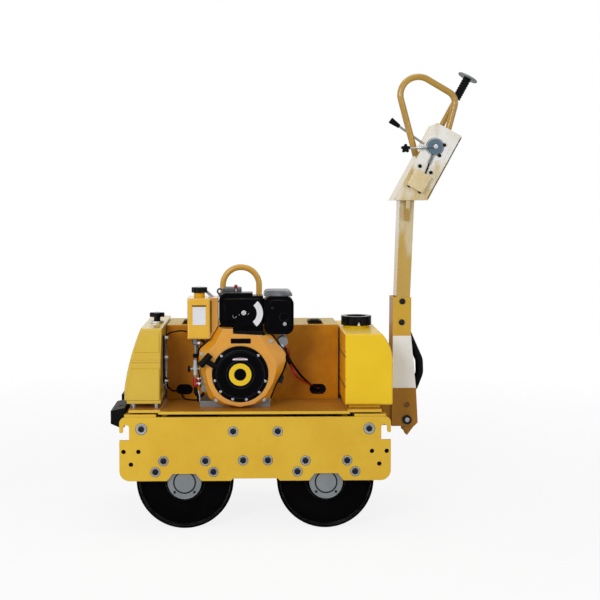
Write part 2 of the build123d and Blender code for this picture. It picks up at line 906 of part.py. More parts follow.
# corner of the skirt (along X, up), corner of the front face (along X, up), from the crankshaft
shroud_corners = (
    ((-138, -112), (-114, -96)),
    ((-158, -48), (-140, -43)),
    ((-171, 10), (-149, 10)),
    ((-182, 75), (-152, 60)),
    ((-180, 104), (-147, 84)),
    ((-135, 145), (-108, 131)),
    ((-97, 204), (-74, 199)),
    ((-30, 204), (-32, 199)),
    ((-30, 181), (-32, 176)),
    ((134, 171), (80, 171)),
    ((178, 111), (107, 128)),
    ((200, 90), (130, 93)),
    ((200, 53), (156, 52)),
    ((187, 10), (157, 8)),
    ((156, -47), (142, -43)),
    ((130, -112), (112, -92)),
    ((70, -142), (62, -131)),
    ((0, -153), (0, -144)),
    ((-80, -142), (-66, -129)),
)
crank = (crank_x, crank_z)
skirt_outline = about(crank, [skirt for skirt, face in shroud_corners])
face_outline = about(crank, [face for skirt, face in shroud_corners])


def shroud_outline(corners, radius):
    """The shroud's outline in the open sketch, its corners rounded below the air cleaner."""
    outline = Polygon(*corners, align=None)
    low_corners = [v for v in outline.vertices() if v.Y < crank_z + cleaner_low - cleaner_foot]
    fillet(low_corners, radius)


with BuildPart() as engine_shroud:
    with BuildSketch(side_plane(case_near)):
        shroud_outline(skirt_outline, skirt_round)
    extrude(amount=shroud_skirt)
    with BuildSketch(side_plane(skirt_near)):
        shroud_outline(skirt_outline, skirt_round)
    with BuildSketch(side_plane(shroud_near)):
        shroud_outline(face_outline, face_round)
    loft(ruled=True)
    with BuildSketch(side_plane(shroud_near)):
        with Locations(crank):
            Circle(starter_radius + starter_clearance)
    extrude(amount=-starter_recess, mode=Mode.SUBTRACT)
engine_shroud.part.label = "engine_shroud"
export_step(engine_shroud.part, "parts/engine_shroud.step")

recess_y = shroud_near + starter_recess
flange_face = shroud_near - starter_flange_proud
case_face = flange_face - starter_case_proud
hub_face = case_face - starter_hub_proud
with BuildPart() as recoil_starter:
    # radius, start Y, end Y, rounding of its front edge
    for radius, start, end, rounding in (
        (starter_radius, recess_y, flange_face, 6),
        (starter_case_radius, flange_face, case_face, 5),
        (starter_hub_radius, case_face, hub_face, 1),
    ):
        with BuildSketch(side_plane(start)):
            with Locations(crank):
                Circle(radius)
        extrude(amount=start - end)
        fillet(recoil_starter.faces().sort_by(Axis.Y)[0].edges(), rounding)
    with BuildSketch(side_plane(hub_face)):
        with Locations(crank):
            Circle(starter_well_radius)
    extrude(amount=-starter_well_depth, mode=Mode.SUBTRACT)
recoil_starter.part.label = "recoil_starter"
export_step(recoil_starter.part, "parts/recoil_starter.step")

grip_y = flange_face - grip_radius
grip_low = (crank_x - 174, grip_y, crank_z + 40)
grip_high = (crank_x - 130, grip_y, crank_z + 88)
grip_middle = (crank_x - 152, grip_y, crank_z + 64)
rope_entry = (crank_x - 108, flange_face + 2, crank_z + 33)
with BuildPart() as starter_grip:
    add(straight_bar(grip_low, grip_high, grip_radius).part)
    add(straight_bar(grip_middle, rope_entry, rope_guide_radius, (recoil_starter.part, engine_shroud.part)).part)
starter_grip.part.label = "starter_grip"
export_step(starter_grip.part, "parts/starter_grip.step")

tank_front = crank_x + fuel_tank_front
tank_rear = tank_front + fuel_tank_length
tank_wing_rear = tank_rear + fuel_tank_wing
fuel_tank_top = fuel_tank_base + fuel_tank_height
with BuildPart() as fuel_tank:
    with BuildSketch(side_plane(fuel_tank_far)):
        Polygon(
            (tank_front, fuel_tank_base),
            (tank_front, fuel_tank_top),
            (tank_wing_rear, fuel_tank_top),
            (tank_wing_rear, fuel_tank_base + fuel_tank_wing_slope),
            (tank_rear, fuel_tank_base),
            align=None,
        )
    extrude(amount=fuel_tank_far - fuel_tank_wing_near)
    block((tank_front, tank_rear), (fuel_tank_near, fuel_tank_far), (fuel_tank_base, fuel_tank_top))
    fillet(fuel_tank.edges().filter_by(lambda e: e.center().Y < fuel_tank_wing_near - 1), fuel_tank_round)
fuel_tank.part.label = "fuel_tank"
export_step(fuel_tank.part, "parts/fuel_tank.step")

fuel_cap_x = (tank_front + tank_rear) / 2
fuel_cap_y = (fuel_tank_near + fuel_tank_far) / 2
with BuildPart() as fuel_cap:
    with BuildSketch(Plane.XY.offset(fuel_tank_top)):
        with Locations((fuel_cap_x, fuel_cap_y)):
            Circle(fuel_neck_radius)
    extrude(amount=fuel_neck_height)
    with BuildSketch(Plane.XY.offset(fuel_tank_top + fuel_neck_height)):
        with Locations((fuel_cap_x, fuel_cap_y)):
            Circle(fuel_cap_radius)
            with PolarLocations(fuel_cap_radius, fuel_cap_lobes):
                Circle(fuel_cap_radius / 5)
    extrude(amount=fuel_cap_height)
    fillet(fuel_cap.edges().group_by(Axis.Z)[-1], 3)
fuel_cap.part.label = "fuel_cap"
export_step(fuel_cap.part, "parts/fuel_cap.step")

# air cleaner, from the crankshaft: along X, up
cleaner_outline = about(
    crank,
    (
        (-cleaner_ahead, cleaner_low + cleaner_foot),
        (-cleaner_ahead, cleaner_high),
        (cleaner_tab_behind, cleaner_high),
        (cleaner_tab_behind, cleaner_high - cleaner_notch),
        (cleaner_behind, cleaner_high - cleaner_notch),
        (cleaner_behind, cleaner_low),
        (-cleaner_foot_ahead, cleaner_low),
        (-cleaner_foot_ahead, cleaner_low + cleaner_foot),
    ),
)
panel_low = cleaner_low + cleaner_face_step
panel_high = cleaner_high - cleaner_face_step
panel_outline = about(
    crank,
    (
        (-cleaner_ahead + cleaner_face_step, panel_low + cleaner_foot),
        (-cleaner_ahead + cleaner_face_step, panel_high),
        (cleaner_behind - cleaner_face_step / 2, panel_high),
        (cleaner_behind - cleaner_face_step / 2, panel_low),
        (-cleaner_foot_ahead + cleaner_face_step, panel_low),
        (-cleaner_foot_ahead, panel_low + cleaner_foot),
    ),
)
cleaner_case_near = cleaner_near + cleaner_face_proud
with BuildPart() as air_cleaner:
    with BuildSketch(side_plane(cleaner_far)) as case_outline:
        Polygon(*cleaner_outline, align=None)
        fillet(corners_at(case_outline, lambda x, z: x < crank_x - cleaner_ahead + 1), cleaner_round)
    extrude(amount=cleaner_far - cleaner_case_near)
    fillet(air_cleaner.faces().sort_by(Axis.Y)[0].edges(), 5)
    with BuildSketch(side_plane(cleaner_case_near)) as face_panel:
        Polygon(*panel_outline, align=None)
        fillet(face_panel.vertices(), 10)
    extrude(amount=cleaner_face_proud)
    fillet(air_cleaner.faces().sort_by(Axis.Y)[0].edges(), 8)
    block(
        (cylinder_front + 10, cylinder_front + 70),
        (cleaner_far, cylinder_near + 15),
        (head_low + 52, head_low + 112),
    )
air_cleaner.part.label = "air_cleaner"
export_step(air_cleaner.part, "parts/air_cleaner.step")

muffler_front = crank_x + muffler_ahead
muffler_rear = muffler_front + muffler_length
muffler_low = crank_z + muffler_low_up
muffler_top = muffler_low + muffler_height
muffler_middle = ((muffler_front + muffler_rear) / 2, (muffler_low + muffler_top) / 2)
outlet = (muffler_rear - outlet_inset, muffler_low + outlet_up)
with BuildPart() as muffler:
    with BuildSketch(side_plane(muffler_far)) as muffler_outline:
        with Locations(muffler_middle):
            RectangleRounded(muffler_length, muffler_height, muffler_round)
    extrude(amount=muffler_far - muffler_near - muffler_face_proud)
    with BuildSketch(side_plane(muffler_near + muffler_face_proud)):
        with Locations(muffler_middle):
            RectangleRounded(
                muffler_length - 2 * muffler_face_step,
                muffler_height - 2 * muffler_face_step,
                muffler_round - muffler_face_step / 2,
            )
    extrude(amount=muffler_face_proud)
    fillet(muffler.faces().sort_by(Axis.Y)[0].edges(), muffler_face_proud / 2)
    with BuildSketch(side_plane(muffler_near)):
        with Locations(outlet):
            Circle(outlet_radius)
    extrude(amount=-outlet_depth, mode=Mode.SUBTRACT)
    block((cylinder_rear - 15, muffler_front + 22), (muffler_far - 40, muffler_far - 5), (head_low + 57, head_low + 102))
    block(
        (muffler_front - muffler_shoulder, muffler_middle[0]),
        (cleaner_far + shoulder_gap, muffler_far - 5),
        (muffler_low + muffler_round, muffler_top - muffler_round / 2),
    )
muffler.part.label = "muffler"
export_step(muffler.part, "parts/muffler.step")

guard_range = (muffler_near + muffler_face_proud + guard_inset, muffler_far - guard_inset)
guard_low = muffler_top + guard_lip
with BuildPart() as muffler_guard:
    block((muffler_front + muffler_round, muffler_rear - muffler_round), guard_range, (muffler_top, guard_low))
    block((muffler_front, muffler_rear - guard_inset), guard_range, (guard_low, muffler_top + guard_thick))
    fillet(muffler_guard.edges().filter_by(Axis.Y).group_by(Axis.Z)[-1], guard_round)
muffler_guard.part.label = "muffler_guard"
export_step(muffler_guard.part, "parts/muffler_guard.step")

motor_x = crank_x + motor_behind
motor_z = crank_z + motor_up
with BuildPart() as starter_motor:
    with BuildSketch(side_plane(motor_near + motor_length)):
        with Locations((motor_x, motor_z)):
            Circle(motor_radius)
    extrude(amount=motor_length)
    block((case_rear, motor_x), (motor_near + 14, motor_near + 34), (case_top - 35, motor_z - 7))
starter_motor.part.label = "starter_motor"
export_step(starter_motor.part, "parts/starter_motor.step")

# fuel pipe: each point's distance ahead of the crankcase and height from the crankshaft
pipe_y = (fuel_tank_near + fuel_tank_far) / 2 + 20
fuel_pipe = bent_bar(
    [
        (case_front - ahead, pipe_y, crank_z + up)
        for ahead, up in ((68, fuel_tank_low), (68, 69), (24, 44), (24, 14))
    ],
    (20, 14),
    pipe_radius,
)
with BuildPart() as injection_pump:
    block((case_front - pump_ahead, case_front), (pipe_y - 35, pipe_y + 25), (crank_z - 86, crank_z + 14))
    add(fuel_pipe.part)
injection_pump.part.label = "injection_pump"
export_step(injection_pump.part, "parts/injection_pump.step")

# ---------------------------------------------------------------- drawbar hinge
pivot = (pivot_x, pivot_z)
lock_hole = (pivot_x + lock_hole_ahead, pivot_z + lock_hole_up)
bracket_front = flange_outer + hinge_base_thick
bracket_top = rear_tank_low - bracket_drop
ear_top = bracket_top - pivot_z
ear_foot = bracket_front - pivot_x
ear_outline = about(
    pivot,
    (
        (ear_foot, -hitch_low_drop),
        (ear_foot, ear_top),
        (17.6, ear_top),
        (35.6, ear_top - 25),
        (38.6, -27),
        (2.6, -75),
        (-11.4, -62),
        (-11.4, -hitch_low_drop),
    ),
)
with BuildPart() as hinge_bracket:
    block((flange_outer, bracket_front), hitch_range, (hitch_low, bracket_top))
    for side_name, side in sides:
        with BuildSketch(side_plane(side * ear_inner)):
            Polygon(*ear_outline, align=None)
            with Locations(pivot):
                Circle(pivot_radius + running_gap, mode=Mode.SUBTRACT)
            with Locations(lock_hole):
                Circle(lock_hole_radius, mode=Mode.SUBTRACT)
        extrude(amount=-side * ear_thick)
hinge_bracket.part.label = "hinge_bracket"
export_step(hinge_bracket.part, "parts/hinge_bracket.step")

head_inner = cheek_outer + face_gap
with BuildPart() as pivot_pin:
    with BuildSketch(side_plane()):
        with Locations(pivot):
            Circle(pivot_radius)
    extrude(amount=head_inner + 1, both=True)
    for side_name, side in sides:
        with BuildSketch(side_plane(side * head_inner)):
            with Locations(pivot):
                Circle(pivot_head_radius)
        extrude(amount=-side * pivot_head_thick)
pivot_pin.part.label = "pivot_pin"
export_step(pivot_pin.part, "parts/pivot_pin.step")

# ---------------------------------------------------------------- drawbar
cheek_outline = about(
    pivot,
    (
        (-70.4, -30),
        (-65.4, cheek_height),
        (18.6, cheek_height),
        (17.6, 388),
        (41.6, 146),
        (49.6, 0),
        (49.6, -14),
        (34.6, -30),
    ),
)
web_outline = about(
    pivot,
    (
        (-68.4, web_rise),
        (-65.4, cheek_height),
        (-65.4 + web_thick, cheek_height),
        (-68.4 + web_thick, web_rise),
    ),
)
with BuildPart() as drawbar_base:
    for side_name, side in sides:
        with BuildSketch(side_plane(side * cheek_inner)):
            Polygon(*cheek_outline, align=None)
            with Locations(pivot):
                Circle(pivot_radius + running_gap, mode=Mode.SUBTRACT)
            with Locations(lock_hole):
                Circle(lock_hole_radius, mode=Mode.SUBTRACT)
        extrude(amount=-side * cheek_thick)
    with BuildSketch(side_plane()):
        Polygon(*web_outline, align=None)
    extrude(amount=cheek_inner, both=True)
drawbar_base.part.label = "drawbar_base"
export_step(drawbar_base.part, "parts/drawbar_base.step")

column_low = pivot_z + column_rise
console_x = pivot_x + console_shift
console_z = pivot_z + console_rise


def column_x(z):
    """The column's centre line at height z."""
    return pivot_x + column_shift + (z - column_low) * tan(radians(column_lean))


gusset_x = column_x(console_z) - gusset_thick / 2
with BuildPart() as drawbar_column:
    with BuildSketch(side_plane()):
        Polygon(
            (column_x(column_low) - column_depth / 2 + 4, column_low),
            (column_x(console_z) - column_depth / 2, console_z),
            (column_x(console_z) + column_depth / 2, console_z),
            (column_x(column_low) + column_depth / 2, column_low),
            align=None,
        )
    extrude(amount=cheek_inner, both=True)
    for side_name, side in sides:
        with BuildSketch(Plane(origin=(gusset_x, 0, 0), x_dir=(0, 1, 0), z_dir=(1, 0, 0))):
            Polygon(
                (side * cheek_inner, console_z - gusset_drop),
                (side * (console_half_width - 4), console_z),
                (side * cheek_inner, console_z),
                align=None,
            )
        extrude(amount=gusset_thick)
drawbar_column.part.label = "drawbar_column"
export_step(drawbar_column.part, "parts/drawbar_column.step")

# ---------------------------------------------------------------- console and controls
up_x = sin(radians(console_lean))
up_z = cos(radians(console_lean))


def on_console(up, across):
    """The (x, z) place at a height along the console's long side and a distance across it."""
    return (console_x + up * up_x + across * up_z, console_z + up * up_z - across * up_x)


def beside_console(up, across, y):
    """The (x, y, z) place at a height along the console, a distance across it, and y."""
    x, z = on_console(up, across)
    return (x, y, z)


heel = console_depth * up_x / up_z
console_plane = Plane(origin=(console_x, 0, console_z), x_dir=(up_z, 0, -up_x), z_dir=(0, -1, 0))
with BuildPart() as console:
    with BuildSketch(console_plane) as console_outline:
        Polygon(
            (0, 0),
            (0, console_length),
            (console_depth, console_length),
            (console_depth, heel),
            align=None,
        )
        fillet(corners_at(console_outline, lambda a, u: u > console_length - 1), console_round)
    extrude(amount=console_half_width, both=True)
console.part.label = "console"
export_step(console.part, "parts/console.step")

# hand loop: each corner's height along the console and distance across it
loop_corners = (
    (console_length - 170, 0),
    (console_length + 170, -323),
    (console_length + 159, 36),
    (console_length, 75),
)
hand_loop = bent_bar(
    [beside_console(up, across, loop_y) for up, across in loop_corners],
    (83, 58),
    loop_tube_radius,
    (console.part,),
)
hand_loop.part.label = "hand_loop"
export_step(hand_loop.part, "parts/hand_loop.step")

push_plane = Plane(
    origin=beside_console(console_length, push_across, push_y),
    x_dir=(0, 1, 0),
    z_dir=(up_x, 0, up_z),
)
with BuildPart() as push_rod:
    with BuildSketch(push_plane):
        Circle(push_rod_radius)
    extrude(amount=push_rod_length)
push_rod.part.label = "push_rod"
export_step(push_rod.part, "parts/push_rod.step")

rib_pitch = push_grip_length / push_grip_ribs
with BuildPart() as push_grip:
    with BuildSketch(push_plane.offset(push_rod_length)):
        Circle(push_grip_radius - push_rib_depth)
    extrude(amount=push_grip_length)
    for rib in range(push_grip_ribs):
        with BuildSketch(push_plane.offset(push_rod_length + rib * rib_pitch)):
            Circle(push_grip_radius)
        extrude(amount=rib_pitch / 2)
push_grip.part.label = "push_grip"
export_step(push_grip.part, "parts/push_grip.step")

with BuildPart() as stop_disc:
    with BuildSketch(push_plane.offset(push_rod_length + push_grip_length)):
        Circle(stop_disc_radius)
    extrude(amount=stop_disc_thick)
    fillet(stop_disc.edges(), stop_disc_thick / 3)
stop_disc.part.label = "stop_disc"
export_step(stop_disc.part, "parts/stop_disc.step")

lever_start = beside_console(console_length - 99, 2, lever_y)
lever_end = beside_console(console_length - 84, -128, lever_y)
travel_lever = straight_bar(lever_start, lever_end, lever_radius, (console.part,))
travel_lever.part.label = "travel_lever"
export_step(travel_lever.part, "parts/travel_lever.step")

lever_way = (Vector(*lever_end) - Vector(*lever_start)).normalized()
lever_plane = Plane(origin=lever_end, x_dir=(0, 1, 0), z_dir=tuple(lever_way))
with BuildPart() as travel_knob:
    with BuildSketch(lever_plane):
        Circle(knob_small_radius)
    with BuildSketch(lever_plane.offset(knob_length)):
        Circle(knob_large_radius)
    loft()
    fillet(travel_knob.edges(), knob_small_radius / 3)
travel_knob.part.label = "travel_knob"
export_step(travel_knob.part, "parts/travel_knob.step")

dial_x, dial_z = on_console(dial_up, dial_across)
dial_face = -console_half_width - dial_thick
with BuildPart() as throttle_dial:
    with BuildSketch(side_plane(-console_half_width)):
        with Locations((dial_x, dial_z)):
            Circle(dial_radius)
    extrude(amount=dial_thick)
    fillet(throttle_dial.faces().sort_by(Axis.Y)[0].edges(), dial_thick / 4)
throttle_dial.part.label = "throttle_dial"
export_step(throttle_dial.part, "parts/throttle_dial.step")

throttle_y = dial_face - throttle_hub_thick / 2
throttle_tip = (dial_x - throttle_length, throttle_y, dial_z - throttle_length * throttle_tilt)
with BuildPart() as throttle_lever:
    add(straight_bar((dial_x, throttle_y, dial_z), throttle_tip, throttle_radius).part)
    with BuildSketch(side_plane(dial_face)):
        with Locations((dial_x, dial_z)):
            Circle(throttle_hub_radius)
    extrude(amount=throttle_hub_thick)
throttle_lever.part.label = "throttle_lever"
export_step(throttle_lever.part, "parts/throttle_lever.step")

star_x = throttle_tip[0] - star_radius
with BuildPart() as throttle_knob:
    with BuildSketch(side_plane(throttle_y + star_thick / 2)):
        with Locations((star_x, throttle_tip[2])):
            Circle(star_radius)
            with PolarLocations(star_radius, star_lobes, start_angle=90):
                Circle(star_lobe_radius)
    extrude(amount=star_thick)
    add(throttle_lever.part, mode=Mode.SUBTRACT)
throttle_knob.part.label = "throttle_knob"
export_step(throttle_knob.part, "parts/throttle_knob.step")

box_plane = Plane(
    origin=beside_console(box_up, box_across, -console_half_width),
    x_dir=(up_z, 0, -up_x),
    z_dir=(0, -1, 0),
)
with BuildPart() as junction_box:
    with BuildSketch(box_plane):
        RectangleRounded(box_width, box_length, box_round)
    extrude(amount=box_height)
    fillet(junction_box.faces().sort_by(Axis.Y)[0].edges(), box_round - 1)
junction_box.part.label = "junction_box"
export_step(junction_box.part, "parts/junction_box.step")

# ---------------------------------------------------------------- hoses and cables
# control hoses: each point's distance along X and up from the pivot
hose_points = ((-3, 423), (25, 358), (65, 268), (67, 208), (41, 140), (3, 113))
control_hoses = bent_bar(
    [(pivot_x + x, 0, pivot_z + up) for x, up in hose_points],
    (60, 60, 60, 40),
    hose_radius,
    (drawbar_column.part,),
)
control_hoses.part.label = "control_hoses"
export_step(control_hoses.part, "parts/control_hoses.step")

hole_back = cover_near + cable_hole_depth
motor_far = motor_near + motor_length
cable_span = right_hole_x - motor_x
starter_cable = bent_bar(
    (
        (motor_x + 0.03 * cable_span, motor_far, motor_z - 12),
        (motor_x + 0.04 * cable_span, motor_far + 22, motor_z - 24),
        (motor_x + 0.14 * cable_span, motor_far + 28, motor_z - 70),
        (motor_x + 0.29 * cable_span, motor_far + 36, motor_z - 122),
        (motor_x + 0.55 * cable_span, motor_far + 58, motor_z - 182),
        (motor_x + 0.85 * cable_span, motor_far + 70, motor_z - 229),
        (right_hole_x - 2.5, cover_near - 9, cable_hole_z - 3),
        (right_hole_x - 1.5, hole_back, cable_hole_z - 4),
    ),
    [share * cable_span for share in (0.07, 0.24, 0.3, 0.3, 0.07, 0.06)],
    starter_cable_radius,
    (starter_motor.part, cover.part),
)
starter_cable.part.label = "starter_cable"
export_step(starter_cable.part, "parts/starter_cable.step")

tank_wall = front_tank_rear - front_tank_rear_slope
upper_cable = bent_bar(
    (
        (front_tank_rear - 6, -112, front_tank_top - 56),
        (-380, -112, 841),
        (-338, -112, 849),
        (-290, -113, 842),
        (-240, -116, 806),
        (case_front, -120, case_top - 18),
    ),
    (30, 60, 60, 60),
    cable_radius,
    (front_tank.part, engine_block.part),
)
lower_cable = bent_bar(
    (
        (tank_wall, -66, 640),
        (tank_wall + 14, -66, 622),
        (tank_wall + 17, -64, 588),
        (-378, -58, 566),
        (left_hole_x - 20, cover_near - 9, cable_hole_z - 5),
        (left_hole_x - 6, hole_back, cable_hole_z - 4),
    ),
    (9, 16, 16, 12),
    cable_radius,
    (front_tank.part, cover.part),
)
deck_line = deck_top + cable_radius
floor_cable = bent_bar(
    (
        (left_hole_x - 8, hole_back, cable_hole_z - 12),
        (left_hole_x - 12, cover_near - 10, cable_hole_z - 14),
        (left_hole_x - 10, cover_near - 16, deck_line + 12),
        (left_hole_x + 6, cover_near - 26, deck_line),
        (crank_x - base_ahead - 34, cover_near - 44, deck_line),
        (crank_x - base_ahead, cover_near - 52, deck_line + 5),
    ),
    (9, 9, 12, 12),
    cable_radius,
    (engine_base.part, cover.part),
)
with BuildPart() as engine_cables:
    add(upper_cable.part)
    add(lower_cable.part)
    add(floor_cable.part)
engine_cables.part.label = "engine_cables"
export_step(engine_cables.part, "parts/engine_cables.step")

throttle_cable = straight_bar(
    beside_console(dial_up, dial_across + 2, -console_half_width - cable_radius - 1),
    beside_console(box_up, box_across + 16, -console_half_width - cable_radius - 1),
    cable_radius,
    (throttle_dial.part, junction_box.part),
)
throttle_cable.part.label = "throttle_cable"
export_step(throttle_cable.part, "parts/throttle_cable.step")
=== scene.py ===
"""A walk-behind double-drum road roller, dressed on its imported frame."""
import json
from math import cos, pi, radians, sin

import bmesh
import bpy
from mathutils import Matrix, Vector
from mathutils.bvhtree import BVHTree


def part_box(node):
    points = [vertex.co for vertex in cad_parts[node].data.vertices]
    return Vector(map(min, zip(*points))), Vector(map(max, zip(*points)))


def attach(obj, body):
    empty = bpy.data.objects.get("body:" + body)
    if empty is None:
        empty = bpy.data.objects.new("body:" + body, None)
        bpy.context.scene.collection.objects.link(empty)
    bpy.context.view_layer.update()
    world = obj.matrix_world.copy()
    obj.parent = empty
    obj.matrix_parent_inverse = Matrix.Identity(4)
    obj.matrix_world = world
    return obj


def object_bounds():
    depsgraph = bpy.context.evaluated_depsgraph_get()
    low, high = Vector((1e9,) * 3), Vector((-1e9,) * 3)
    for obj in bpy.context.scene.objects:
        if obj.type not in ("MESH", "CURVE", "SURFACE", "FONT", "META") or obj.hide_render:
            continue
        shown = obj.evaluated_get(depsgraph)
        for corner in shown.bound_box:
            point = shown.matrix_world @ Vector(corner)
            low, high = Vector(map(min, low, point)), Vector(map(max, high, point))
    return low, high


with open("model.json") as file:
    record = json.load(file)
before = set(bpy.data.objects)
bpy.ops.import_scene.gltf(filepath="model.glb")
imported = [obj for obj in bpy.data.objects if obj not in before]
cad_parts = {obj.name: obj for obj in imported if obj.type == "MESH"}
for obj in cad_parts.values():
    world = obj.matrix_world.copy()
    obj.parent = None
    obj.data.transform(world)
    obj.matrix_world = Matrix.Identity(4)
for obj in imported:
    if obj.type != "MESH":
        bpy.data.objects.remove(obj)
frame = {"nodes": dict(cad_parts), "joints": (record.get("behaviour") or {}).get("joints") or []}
nodes = frame["nodes"]
joints = {joint["name"]: Vector(joint["pos_m"]) for joint in frame["joints"]}
cad_low, cad_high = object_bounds()
MM = 0.001

# ==== colours
# display values from 0 to 255
FRAME_DEEP = (212, 157, 28)
# pale colour along the edges of paint: a painted highlight, with some wear
PALE_EDGE_WEAR_AND_HIGHLIGHT = (250, 226, 160)
DUST = (176, 160, 128)


def rgb(*display):
    """A linear colour from its display values."""
    shares = [value / 255 for value in display]
    linear = [share / 12.92 if share <= 0.04045 else ((share + 0.055) / 1.055) ** 2.4 for share in shares]
    return (*linear, 1.0)


# ==== materials
def put(tree, socket, value):
    """Gives a socket a value, or links another socket to it."""
    if isinstance(value, bpy.types.NodeSocket):
        tree.links.new(value, socket)
    else:
        socket.default_value = value


def add_node(tree, kind, **inputs):
    """A shader node with some inputs set; names of inputs have _ for a space."""
    node = tree.nodes.new(kind)
    for name, value in inputs.items():
        put(tree, node.inputs[name.replace("_", " ")], value)
    return node


def calculate(tree, operation, first, second=0.0, clamp=False):
    """The output of one arithmetic step."""
    node = tree.nodes.new("ShaderNodeMath")
    node.operation = operation
    node.use_clamp = clamp
    put(tree, node.inputs[0], first)
    put(tree, node.inputs[1], second)
    return node.outputs[0]


def times(tree, first, second, clamp=False):
    """The output of a multiplication."""
    return calculate(tree, "MULTIPLY", first, second, clamp)


def blend_colours(tree, factor, first, second):
    """The output of a colour mix; first shows where the factor is 0."""
    node = tree.nodes.new("ShaderNodeMix")
    node.data_type = "RGBA"
    sockets = {socket.identifier: socket for socket in node.inputs}
    for identifier, value in (("Factor_Float", factor), ("A_Color", first), ("B_Color", second)):
        put(tree, sockets[identifier], value)
    return next(socket for socket in node.outputs if socket.identifier == "Result_Color")


def ramp_between(tree, value, low, high):
    """A value stretched so that low gives 0 and high gives 1."""
    return add_node(tree, "ShaderNodeMapRange", Value=value, From_Min=low, From_Max=high).outputs[0]


def noise_at(tree, place, scale, detail=3.0, stretch=(1, 1, 1)):
    """Noise from 0 to 1, with cells of about 1 / scale metres, squeezed along each axis."""
    mapping = add_node(tree, "ShaderNodeMapping", Vector=place, Scale=stretch)
    noise = add_node(tree, "ShaderNodeTexNoise", Vector=mapping.outputs[0], Scale=scale, Detail=detail)
    return noise.outputs["Fac"]


def normal_of(tree):
    """The direction the surface faces."""
    return tree.nodes.new("ShaderNodeNewGeometry").outputs["Normal"]


def part_of(tree, vector, axis):
    """One axis of a vector."""
    return add_node(tree, "ShaderNodeSeparateXYZ", Vector=vector).outputs[axis]


def finish(colour, deep, rough, grain, edge=None, **extra):
    """The facts of one finish, its colours as display values; what isn't given takes these values."""
    colour = rgb(*colour)
    # the default edge colour is lighter than the finish: a painted highlight along edges
    lighter = (*(min(1.0, 1.5 * c + 0.02) for c in colour[:3]), 1.0)
    facts = {
        "colour": colour,
        "deep": rgb(*deep),  # what the colour changes to in places
        "rough": rough,
        "rough_spread": 0.12,
        "grain": grain,  # cells a metre of the fine relief, and its height in mm
        "wave": (7.0, 0.0),  # the same of the slow waviness
        "stretch": (1, 1, 1),
        "tone": 0.35,  # the share of the deep colour
        "tone_cells": 5.0,  # cells a metre of the slow colour change
        "edge": rgb(*edge) if edge else lighter,
        "worn": 0.5,  # the share of the edge colour, a painted highlight along edges with some chips of wear
        "dust": 0.08,
        "metal": 0.0,
    }
    return {**facts, **extra}


def finish_sockets(tree, facts, place, edges):
    """Colour, roughness, metal and height of one finish, as sockets or numbers."""
    grain_cells, grain_height = facts["grain"]
    wave_cells, wave_height = facts["wave"]
    tone = ramp_between(tree, noise_at(tree, place, facts["tone_cells"], 4.0), 0.35, 0.68)
    grain = noise_at(tree, place, grain_cells, 2.0, facts["stretch"])
    smear = noise_at(tree, place, grain_cells / 16, 4.0, facts["stretch"])
    mottle = times(tree, ramp_between(tree, smear, 0.4, 0.75), facts["tone"])
    colour = blend_colours(tree, times(tree, tone, facts["tone"]), facts["colour"], facts["deep"])
    colour = blend_colours(tree, times(tree, mottle, 0.6), colour, facts["deep"])
    chips = ramp_between(tree, smear, 0.42, 0.62)
    # the edge colour goes along edges: a painted highlight, broken by random chips of wear
    worn = times(tree, edges, calculate(tree, "ADD", chips, 0.35))
    worn = times(tree, worn, facts["worn"], clamp=True)
    colour = blend_colours(tree, worn, colour, facts["edge"])
    settled = ramp_between(tree, part_of(tree, normal_of(tree), "Z"), 0.55, 1.0)
    settled = times(tree, settled, calculate(tree, "ADD", smear, 0.2))
    settled = times(tree, settled, facts["dust"] * 2, clamp=True)
    colour = blend_colours(tree, settled, colour, rgb(*DUST))
    rough = times(tree, calculate(tree, "SUBTRACT", smear, 0.5), facts["rough_spread"] * 2)
    rough = calculate(tree, "ADD", rough, facts["rough"])
    rough = calculate(tree, "ADD", rough, times(tree, settled, 0.4), clamp=True)
    height = times(tree, grain, grain_height * MM)
    if wave_height:
        wave = noise_at(tree, place, wave_cells, 1.0)
        height = calculate(tree, "ADD", height, times(tree, wave, wave_height * MM))
    return colour, rough, facts["metal"], height


def new_material(name):
    """A new material with its tree, its shader and the place on the piece."""
    material = bpy.data.materials.new(name)
    material.use_nodes = True
    tree = material.node_tree
    place = tree.nodes.new("ShaderNodeTexCoord").outputs["Object"]
    return material, tree, tree.nodes["Principled BSDF"], place


